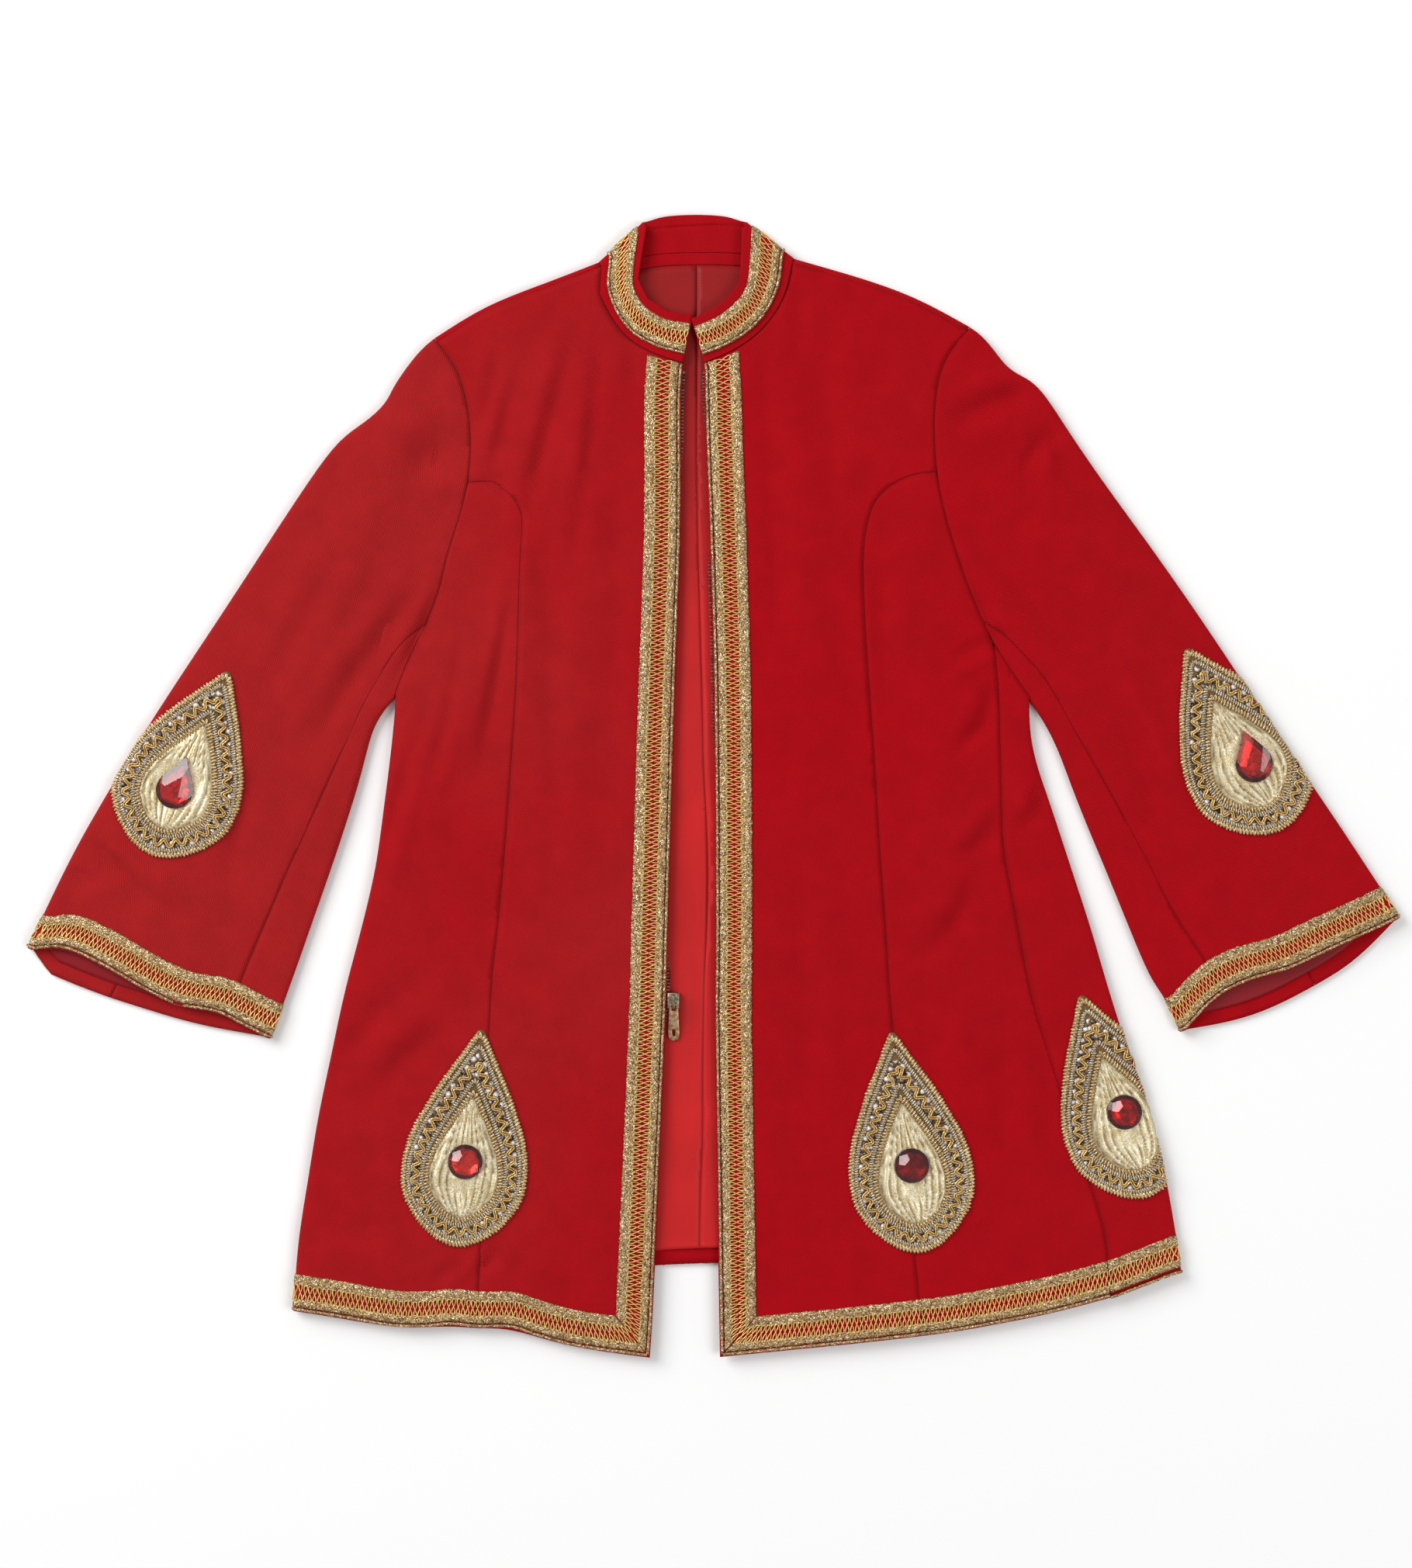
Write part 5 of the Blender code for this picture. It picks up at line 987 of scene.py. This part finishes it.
# Half a teardrop's outline, as (share of its length from the tip, share of its widest half width).
DROP_SIDE = [(0.0, 0.0), (0.006, 0.05), (0.05, 0.14), (0.1, 0.235), (0.17, 0.375), (0.27, 0.57),
             (0.36, 0.715), (0.47, 0.885), (0.58, 0.98), (0.66, 1.0), (0.77, 0.95), (0.88, 0.72),
             (0.955, 0.436), (0.99, 0.2), (1.0, 0.0)]
JEWELS = {"right_sleeve": (-391.5, -3.5), "left_sleeve": (393.5, 15.5), "right_hem": (-180.2, -274),
          "left_hem": (144.6, -276.8), "left_side": (299.4, -237.9)}
WRAP_LENGTH = 11.0
DROP_MARGIN = 8.0
DROP_STEP = 2.0
DROP_COLUMNS = 52
RIM_INSET = 0.5
RING_STEP = 1.4
PLEATS = 4.6
PLEATS_INSET = 20.5
PLEATS_BEGIN = (18.5, 23.0)
ROUND_REACH = 12
PEAR_REACH = 17
# Coils of gimp on a patch, in mm: number of the finish, how far in, reach, pitch, thread, top's height.
COILS = [(1, 2.2, 2.1, 2.5, 0.72, 1.9), (5, 5.7, 1.6, 1.8, 0.5, 1.9), (5, 15.6, 1.7, 1.8, 0.5, 2.4),
         (1, 19.2, 2.0, 2.4, 0.66, 2.5)]
COIL_POINTS = 7
WAVE_INSET = 10.9
WAVE_POINTS = 10
WAVE_LEVEL = 2.5
WAVE_SWING = 2.6
WAVE_PITCH = 9.0
WAVE_SHIFT = 0.72
WAVE_THREAD = 0.6
# Rows of sequins: how far in, pitch, shift along the row, and every how many a frosted one lies.
SEQUIN_ROWS = [(8.4, 3.8, 0.0, 2), (11.0, 3.6, 0.5, 5), (13.4, 3.9, 0.25, 3)]
SEQUIN_SIDES = 9
SEQUIN_RADIUS = (1.9, 2.4)
SEQUIN_TILT = 0.17
PATCH_FINISHES = [GATHERED_GOLD, GIMP_GOLD, CORD_ORANGE, SMOKE_SEQUIN, FROST_SEQUIN, GIMP_SILVER]


def wrapped_place(place, fold, outward):
    """Where a flat place of a patch comes to lie: the spot to look at, and the side to look from."""
    if fold is None:
        return np.array([*place, FOLD_MIDDLE]), np.array([0.0, 0.0, 1.0])
    nearest = None
    for a, b in zip(fold, fold[1:]):
        a, run = np.array(a, float), np.array(b, float) - np.array(a, float)
        share = min(max(float((place - a) @ run / (run @ run)), 0.0), 1.0)
        foot = a + run * share
        gap = float(np.hypot(*(place - foot)))
        if nearest is None or gap < nearest[0]:
            out = np.array([-run[1], run[0]]) * outward / np.hypot(*run)
            nearest = (gap, foot, out)
    _, foot, out = nearest
    beyond = float((place - foot) @ out) + FOLD_RADIUS
    if beyond <= 0:
        return np.array([*place, FOLD_MIDDLE]), np.array([0.0, 0.0, 1.0])
    tangent = place - out * beyond
    if beyond < WRAP_LENGTH:
        angle = math.pi * beyond / WRAP_LENGTH
        return np.array([*tangent, FOLD_MIDDLE]), np.array([*(out * math.sin(angle)), math.cos(angle)])
    return np.array([*(tangent - out * (beyond - WRAP_LENGTH)), FOLD_MIDDLE]), np.array([0.0, 0.0, -1.0])


def drop_ground(drop, fold=None, outward=1):
    """The cloth under a patch, over the way towards its tip and the width across it."""
    x, y, radius, tip, lean = drop
    turn = math.radians(lean)
    tip_way = np.array([-math.sin(turn), math.cos(turn)])
    across_way = np.array([math.cos(turn), math.sin(turn)])
    travel = np.arange(-radius - DROP_MARGIN, tip + DROP_MARGIN, DROP_STEP)
    widths = np.linspace(-radius - DROP_MARGIN, radius + DROP_MARGIN, DROP_COLUMNS)
    places = np.zeros((len(travel), len(widths), 3))
    looks = np.zeros((len(travel), len(widths), 3))
    for i, along in enumerate(travel):
        for j, across in enumerate(widths):
            flat = np.array([x, y]) + tip_way * along + across_way * across
            target, look = wrapped_place(flat, fold, outward)
            places[i, j] = cloth_at(WOOL_TREE, target, look)
            looks[i, j] = look
    for _ in range(2):
        places[:, 1:-1] = (places[:, :-2] + 2 * places[:, 1:-1] + places[:, 2:]) / 4
    return smooth_ground(travel, widths, places, looks)


def drop_outline(drop, inset, count):
    """Evenly spaced places round a teardrop, drawn in by the inset, from its tip and back to it."""
    radius = drop[2] - inset
    tip = drop[3] * radius / drop[2]
    knots = [(tip - (tip + radius) * along, radius * width) for along, width in DROP_SIDE]
    knots = knots + [(along, -across) for along, across in reversed(knots[:-1])]
    line = eased(knots, np.linspace(0, 1, 260))
    travel = np.r_[0, np.cumsum(np.hypot(*np.diff(line, axis=0).T))]
    wanted = np.arange(count) / count * travel[-1]
    return np.stack([np.interp(wanted, travel, axis) for axis in line.T], 1), travel[-1]


def pleat_heights(drop, a, b):
    """Pleats that run from the tip down to the round end: their heights, and how deep each place lies, which
    sets the painted shade in their valleys.
    """
    radius = drop[2] - PLEATS_INSET
    tip = drop[3] * radius / drop[2]
    shares, halves = zip(*DROP_SIDE)
    half = np.maximum(np.interp((tip - a) / (tip + radius), shares, halves) * radius, 2.0)
    lateral = np.clip(b / half, -1, 1) + 0.05 * np.sin(a / 9 + 2.0)
    count = lateral * PLEATS + 0.25 * np.sin(a / 21)
    share = np.abs(count) % 1.0
    number = np.floor(np.abs(count)) + 7 * (count > 0)
    size = 0.95 + 0.45 * np.sin(number * 2.4 + drop[0])
    rise = size * np.minimum(share / 0.16, (1 - share) / 0.84)
    return rise, 1 - np.clip(rise / np.maximum(size, 0.1) / 0.55, 0, 1)


def plate(ground, drop, jewel, reach):
    """The backing and its cloth: dark in the sequins' channel, and pleated in the middle round the jewel,
    with painted shade in the pleats' valleys.
    """
    outline, _ = drop_outline(drop, RIM_INSET, 180)
    lean = math.radians(drop[4])
    east, north = jewel[0] - drop[0], jewel[1] - drop[1]
    spot = (north * math.cos(lean) - east * math.sin(lean) + (reach - ROUND_REACH),
            east * math.cos(lean) + north * math.sin(lean))
    insets = np.arange(0.0, drop[2] - 4, RING_STEP)
    rings, pleat_shade_and_channel_darks = [], []
    for inset in insets:
        ring = outline * (drop[2] - RIM_INSET - inset) / (drop[2] - RIM_INSET)
        rise, depth = pleat_heights(drop, *ring.T)
        middle = smooth_steps(np.full(len(ring), inset), *PLEATS_BEGIN)
        bare = smooth_steps(np.hypot(*(ring - spot).T), reach - 1, reach + 3)
        bare *= smooth_steps(np.hypot(*ring.T), 4, 12)
        height = 0.6 + middle * (1.0 + rise * 1.4 * bare)
        rings.append(ground.at(ring[:, 0], ring[:, 1], height)[0])
        # How much dark brown each ring gets: painted shade in the pleats' valleys, and all of it in the
        # channel outside the middle.
        pleat_shade_and_channel_darks.append(np.maximum(depth * middle * bare, 1 - middle))
    foot = ground.at(outline[:, 0], outline[:, 1], 0.03)[0]
    low = ground.at(outline[:, 0] * 0.1, outline[:, 1] * 0.1, 0.03)[0]
    rings = np.array([low, foot, *rings])
    pleat_shade_and_channel_darks = np.array([pleat_shade_and_channel_darks[0], pleat_shade_and_channel_darks[0], *pleat_shade_and_channel_darks])
    places, faces = wrapped(rings)
    return places, faces, pleat_shade_and_channel_darks.ravel()


def round_outline(drop, inset, pitch, points):
    """Places round a teardrop for a cord that repeats: its angles, the line, and the ways along and aside."""
    line, length = drop_outline(drop, inset, 400)
    line = (np.roll(line, 1, axis=0) + line + np.roll(line, -1, axis=0)) / 3
    turns = round(length / pitch)
    angle = 2 * np.pi * np.arange(turns * points) / points
    spot = angle / (2 * np.pi * turns) * len(line)
    k = spot.astype(int) % len(line)
    base = line[k] + (line[(k + 1) % len(line)] - line[k]) * (spot - spot.astype(int))[:, None]
    run = line[(k + 2) % len(line)] - line[k - 2]
    run /= np.hypot(*run.T)[:, None]
    return angle, base, run, np.stack([run[:, 1], -run[:, 0]], 1)


def coil(ground, drop, inset, reach, pitch, thread, top):
    """A cord coiled round and round along a teardrop's outline."""
    angle, base, _, side = round_outline(drop, inset, pitch, COIL_POINTS)
    size = 1 + np.repeat(jitter.normal(0, 0.12, len(angle) // COIL_POINTS), COIL_POINTS)
    place = base + side * (reach * size * np.cos(angle))[:, None]
    height = 0.5 + thread + (top - thread - 0.5) * (0.5 + 0.5 * np.sin(angle)) * size
    path, normals = ground.at(place[:, 0], place[:, 1], height)
    return tube(path, normals, thread, closed=True)


def wave(ground, drop, shift):
    """One thread of the wavy cord in the channel, to one side of its middle."""
    angle, base, run, side = round_outline(drop, WAVE_INSET, WAVE_PITCH, WAVE_POINTS)
    slope = np.cos(angle) * WAVE_SWING * 2 * np.pi / WAVE_PITCH
    off = shift / np.sqrt(1 + slope * slope)
    place = base + side * (WAVE_SWING * np.sin(angle) + off)[:, None] - run * (off * slope)[:, None]
    path, normals = ground.at(place[:, 0], place[:, 1], WAVE_LEVEL)
    return tube(path, normals, WAVE_THREAD, 5, closed=True)


def sequins(ground, drop):
    """Cupped discs laid loosely in the channel, each turned and tilted a little."""
    sides = SEQUIN_SIDES
    upper = [[k, (k + 1) % sides, sides] for k in range(sides)]
    faces = upper + [[after, k, sides + 1] for k, after, _ in upper]
    found = []
    for inset, pitch, shift, frosty in SEQUIN_ROWS:
        line, length = drop_outline(drop, inset, 800)
        count = int(length / pitch)
        spots = ((np.arange(count) + shift + jitter.normal(0, 0.12, count)) / count * len(line)).astype(int)
        place = line[spots % len(line)] + jitter.normal(0, 0.35, (count, 2))
        lift = 0.75 + 0.35 * (np.arange(count) % 3) + jitter.uniform(0, 0.3, count)
        centres, normals = ground.at(place[:, 0], place[:, 1], lift)
        for number, (centre, normal) in enumerate(zip(centres, normals)):
            lean = unit(normal + jitter.normal(0, SEQUIN_TILT, 3))
            first = unit(np.cross(lean, (0.3, 0.9, 0.1)))
            second = np.cross(lean, first)
            turn = 2 * np.pi * (np.arange(sides) + jitter.random()) / sides
            radius = jitter.uniform(*SEQUIN_RADIUS) * MM
            rim = centre + radius * (np.cos(turn)[:, None] * first + np.sin(turn)[:, None] * second)
            cup = [centre - lean * 0.35 * MM, centre - lean * 0.5 * MM]
            found.append((np.concatenate([rim, cup]), faces, 3 if number % frosty else 4))
    return found


def patch(name, drop, reach, fold=None, outward=1):
    """A whole patch on its cloth, which stands for the CAD one."""
    node = name + "_patch"
    ground = drop_ground(drop, fold, outward)
    places, faces, pleat_shade_and_channel_darks = plate(ground, drop, JEWELS[name], reach)
    parts = [(places, faces, 0)]
    parts += [(*coil(ground, drop, *sizes), number) for number, *sizes in COILS]
    parts += [(*wave(ground, drop, shift), 2) for shift in (WAVE_SHIFT, -WAVE_SHIFT)]
    parts += sequins(ground, drop)
    piece = sewn_piece(node + "_gold", parts, PATCH_FINISHES)
    # The plate's dark share, read by its material: painted shade in the pleats, and the dark channel.
    shade = piece.data.attributes.new("pleat_shade_and_channel_dark", "FLOAT", "POINT")
    shade.data.foreach_set("value", np.r_[pleat_shade_and_channel_darks, np.zeros(len(piece.data.vertices) - len(pleat_shade_and_channel_darks))])
    settle(piece, node)


patch("right_sleeve", RIGHT_SLEEVE_DROP, PEAR_REACH, RIGHT_SLEEVE_FOLD, -1)
patch("left_sleeve", LEFT_SLEEVE_DROP, PEAR_REACH, LEFT_SLEEVE_FOLD, 1)
patch("right_hem", RIGHT_HEM_DROP, ROUND_REACH)
patch("left_hem", LEFT_HEM_DROP, ROUND_REACH)
patch("left_side", LEFT_SIDE_DROP, ROUND_REACH, LEFT_SIDE_FOLD, 1)

# Jewels. Cut-glass stones, foiled behind and sewn on through the patch: three round ones with a
# six-sided table, and two pears with broad flat flanks. The one on the right front is the brightest.
def foil_finish(name, bright, dark):
    """Crumpled red foil seen through the stone. The brighter ones, laid only under a stone's middle, are
    painted light: the glow that comes back through it.
    """
    finish, tree, shader, place = new_finish(name)
    tone = cells(tree, place, 420)[1]
    mixed = reckon(tree, "MULTIPLY_ADD", tone, 0.7, noise(tree, place, 130, 2))
    feed(tree, shader, {"Base Color": blend(tree, remap(tree, mixed, 0.45, 1.05), (*dark, 1), (*bright, 1)),
                        "Normal": bumped(tree, 1.0, 0.6, mixed), "Metallic": 0.85, "Roughness": 0.3})
    return finish


def stone_finish(name, colour):
    """Coloured lead glass with a few fine scratches on its polish."""
    finish, tree, shader, place = new_finish(name)
    rough = remap(tree, noise(tree, place, 300, 3), 0.3, 0.8, 0.02, 0.12)
    feed(tree, shader, {"Base Color": (*colour, 1), "Roughness": rough, "Transmission Weight": 1.0,
                        "IOR": 1.62})
    return finish


# The three brighter foils lie only under the stones' middles: painted light, for the glow that comes back
# through a foiled stone.
BRIGHT_GLOW_FOIL = foil_finish("bright_glow_foil", (1.0, 0.22, 0.14), (0.6, 0.0, 0.005))
DEEP_FOIL = foil_finish("deep_foil", (0.2, 0.001, 0.005), (0.05, 0.0, 0.002))
WARM_GLOW_FOIL = foil_finish("warm_glow_foil", (0.9, 0.01, 0.02), (0.3, 0.0, 0.003))
DUSKY_GLOW_FOIL = foil_finish("dusky_glow_foil", (0.5, 0.0, 0.008), (0.12, 0.0, 0.002))
BRIGHT_STONE = stone_finish("bright_stone", (1.0, 0.34, 0.28))
DEEP_STONE = stone_finish("deep_stone", (0.85, 0.04, 0.06))
BLOCK_WIDTH = 90
FOIL = 0.3
FOIL_LEVELS = (0.02, 0.12)
GLOW_LEVELS = (0.14, 0.25)
GLOW = 0.72


def round_cuts(radius):
    """The planes of a round stone: their turn, their distance from its axis and height, and their slope."""
    cuts = [(60 * k + 22, radius * 0.36, 1.0, 0.5) for k in range(6)]
    return cuts + [(30 * k + 37, radius * 0.8, 0.56, 0.85) for k in range(12)]


def block(centre, sizes):
    """A block of the given sizes, left in edit mode."""
    bpy.ops.object.select_all(action="DESELECT")
    bpy.ops.mesh.primitive_cube_add(size=1, location=centre, scale=sizes)
    bpy.ops.object.transform_apply(location=True, rotation=True, scale=True)
    bpy.ops.object.mode_set(mode="EDIT")
    return bpy.context.object


def cut_stone(node, outline_cuts, crown_cuts, centre, finish, glow):
    """A stone cut from a block by planes. Dark foil lies under it, and brighter foil under its middle paints
    the light that glows in the stone's middle.
    """
    low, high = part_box(node)
    height = high.z - low.z
    x, y = (value * MM for value in centre)
    pieces = []
    glow_cuts = [(turn, reach * GLOW, share, slope) for turn, reach, share, slope in outline_cuts]
    for label, bottom, top, cuts, material in (
            ("_stone", low.z + FOIL * MM, high.z, outline_cuts + crown_cuts, finish),
            ("_foil", low.z + FOIL_LEVELS[0] * MM, low.z + FOIL_LEVELS[1] * MM, outline_cuts, DEEP_FOIL),
            ("_glow", low.z + GLOW_LEVELS[0] * MM, low.z + GLOW_LEVELS[1] * MM, glow_cuts, glow)):
        piece = block((x, y, (bottom + top) / 2), (BLOCK_WIDTH * MM, BLOCK_WIDTH * MM, top - bottom))
        piece.name = node + label
        for turn, reach, share, slope in cuts:
            turn = math.radians(turn)
            way = Vector((math.cos(turn), math.sin(turn), 0))
            spot = Vector((x, y, low.z + height * share)) + way * reach * MM
            normal = (way * slope + Vector((0, 0, 1))).normalized() if slope is not None else way
            bpy.ops.mesh.select_all(action="SELECT")
            bpy.ops.mesh.bisect(plane_co=spot, plane_no=normal, use_fill=True, clear_outer=True,
                                threshold=1e-7)
        bpy.ops.mesh.select_all(action="SELECT")
        bpy.ops.mesh.normals_make_consistent(inside=False)
        bpy.ops.object.mode_set(mode="OBJECT")
        piece.data.materials.append(material)
        pieces.append(piece)
    settle(pieces[0], node)
    for backing in pieces[1:]:
        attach(backing, "jacket")


def pear_sides(radius, tip, lean):
    """Upright planes round a pear: its round end, and the two flanks that meet at its tip."""
    touch = math.degrees(math.acos(radius / tip))
    span = 360 - 2 * touch
    return [(lean + 90 + touch + span * k / 20, radius, 0.0, None) for k in range(21)]


ROUND_JEWEL = 12.5
PEAR_JEWEL = (13.5, 25.5)
ROUND_SIDES = [(360 * k / 30, ROUND_JEWEL, 0.0, None) for k in range(30)]
for name, finish, glow in (("right_hem", BRIGHT_STONE, BRIGHT_GLOW_FOIL), ("left_hem", DEEP_STONE, DUSKY_GLOW_FOIL),
                           ("left_side", DEEP_STONE, WARM_GLOW_FOIL)):
    cut_stone(name + "_jewel", ROUND_SIDES, round_cuts(ROUND_JEWEL), JEWELS[name], finish, glow)
for name, lean, flanks in (("right_sleeve", -20.5, [(118, 5.5, 1.0, 0.3), (-12, 4.2, 1.0, 0.42)]),
                           ("left_sleeve", 17.6, [(165, 5.5, 1.0, 0.36), (-6, 4.4, 1.0, 0.34)])):
    touch = math.degrees(math.acos(PEAR_JEWEL[0] / PEAR_JEWEL[1]))
    crown = flanks + [(lean + 90 + touch + turn, 6.0, 1.0, 0.55) for turn in (62, 118, 180)]
    crown += [(lean + 90 + turn, 11.6, 0.55, 1.0) for turn in (90, 122, 155, 188, 220, 252)]
    sides = pear_sides(*PEAR_JEWEL, lean)
    cut_stone(name + "_jewel", sides, crown, JEWELS[name], BRIGHT_STONE, WARM_GLOW_FOIL)

# Zip. An open-ended metal zip sewn under both front edges: woven tape, stamped teeth clamped on its
# edge, a cast slider left on the right side, and a stamped tab that swings on the slider's crown.
CHAIN_REACH = {
    "right": [(307, 2.6), (250, 2.4), (222, 0.9), (-110, 0.9), (-146, 2.6), (-190, 0.9), (-420, 0.9)],
    "left": [(307, 2.6), (275, 2.2), (250, 0.9), (175, 1.2), (160, 2.4), (40, 2.4), (10, 0.9), (-420, 0.9)],
}
LEAST_REACH = 1.3
CHAIN_SPREAD = 1.7
TOOTH = (2.4, 1.35, 1.6)
TOOTH_BEVEL = 0.28
TOOTH_INSET = 1.1
TOOTH_PITCH = 2.5
TOOTH_LEVEL = -2.5
TAPE_LEVELS = (-2.1, -2.75)
TAPE_INSET = 1.2
TAPE_EDGE = 12.0
ZIP_END = 46.0


def old_metal(tree, place, dull, rubbed):
    """Old plated metal: dull, rubbed brighter in patches, finely scratched."""
    patches = noise(tree, place, 420, 4)
    colour = blend(tree, remap(tree, patches, 0.42, 0.66), dull, rubbed)
    return colour, remap(tree, patches, 0.35, 0.7, 0.55, 0.3), stripes(tree, place, 900, 9, 3)


OLD_METAL = shader_group(old_metal, "old_metal", ("Dull", "Rubbed"))


def metal_finish(name, dull, rubbed):
    return group_finish(name, OLD_METAL, {"Dull": dull, "Rubbed": rubbed}, 0.25, 0.03, {"Metallic": 1.0})


ZIP_STEEL = metal_finish("zip_steel", (0.17, 0.12, 0.08), (0.42, 0.34, 0.25))
TOOTH_BROWN = metal_finish("tooth_brown", (0.11, 0.08, 0.06), (0.4, 0.33, 0.26))
PULL_BRASS = metal_finish("pull_brass", (0.36, 0.2, 0.1), (0.75, 0.53, 0.31))
TAPE_RED = cloth_material("zip_tape_weave", TWILL, (0.12, 0.006, 0.01), (0.09, 0.006, 0.009), 45, 0.2,
                          0.05, 0.1)

tooth_model = block((0, 0, 0), TOOTH)
bpy.ops.mesh.select_all(action="SELECT")
bpy.ops.mesh.bevel(offset=TOOTH_BEVEL, segments=1, affect="EDGES")
bpy.ops.object.mode_set(mode="OBJECT")
tooth_places = np.array([vert.co for vert in tooth_model.data.vertices])
tooth_faces = [list(face.vertices) for face in tooth_model.data.polygons]
bpy.data.objects.remove(tooth_model)


def zip_side(side, ground):
    """One side of the zip: its tape, and its teeth as far past the cloth's edge as they show."""
    heights, reaches = zip(*reversed(CHAIN_REACH[side]))
    rows = np.arange(2.0, ground.length - ZIP_END, TOOTH_PITCH)
    edge = ground.at(rows, 0.0, 0.0)[0]
    reach = (np.interp(edge[:, 1] / MM, heights, reaches) - LEAST_REACH) * CHAIN_SPREAD
    section = [(0.0, TAPE_LEVELS[0]), (0.0, TAPE_LEVELS[1]), (1.0, TAPE_LEVELS[1]), (1.0, TAPE_LEVELS[0])]
    rings = [ground.at(rows, (TAPE_INSET - reach) * (1 - far) + TAPE_EDGE * far, level)[0]
             for far, level in section]
    parts = [(*wrapped(np.stack(rings, 1)), 0)]
    centres, normals = ground.at(rows, TOOTH_INSET - reach, TOOTH_LEVEL)
    run = unit(np.gradient(centres, axis=0))
    aside = np.cross(run, normals)
    for centre, along, way, up in zip(centres, run, aside, normals):
        placed = tooth_places @ np.stack([way, along, up]) * MM + centre
        parts.append((placed, tooth_faces, 1))
    piece = sewn_piece(side + "_zip_side", parts, [TAPE_RED, TOOTH_BROWN])
    piece.data.shade_flat()
    settle(piece, side + "_zip_tape")


for side, ground in (("right", right_ground), ("left", left_ground)):
    zip_side(side, ground)


def cast_part(node, finish, body, rounding):
    """A small metal part from its CAD solid, with its edges rounded."""
    piece = cad_piece(node, "_metal")
    bpy.ops.mesh.dissolve_limited(angle_limit=math.radians(1))
    bpy.ops.object.mode_set(mode="OBJECT")
    rounded = piece.modifiers.new("rounded", "BEVEL")
    rounded.width = rounding * MM
    rounded.segments = 2
    rounded.limit_method = "ANGLE"
    rounded.angle_limit = math.radians(35)
    bpy.ops.object.modifier_apply(modifier=rounded.name)
    dress(piece, finish, 35)
    settle(piece, node, body)


cast_part("zip_slider", ZIP_STEEL, "jacket", 0.34)
cast_part("zip_pull", PULL_BRASS, "pull", 0.18)
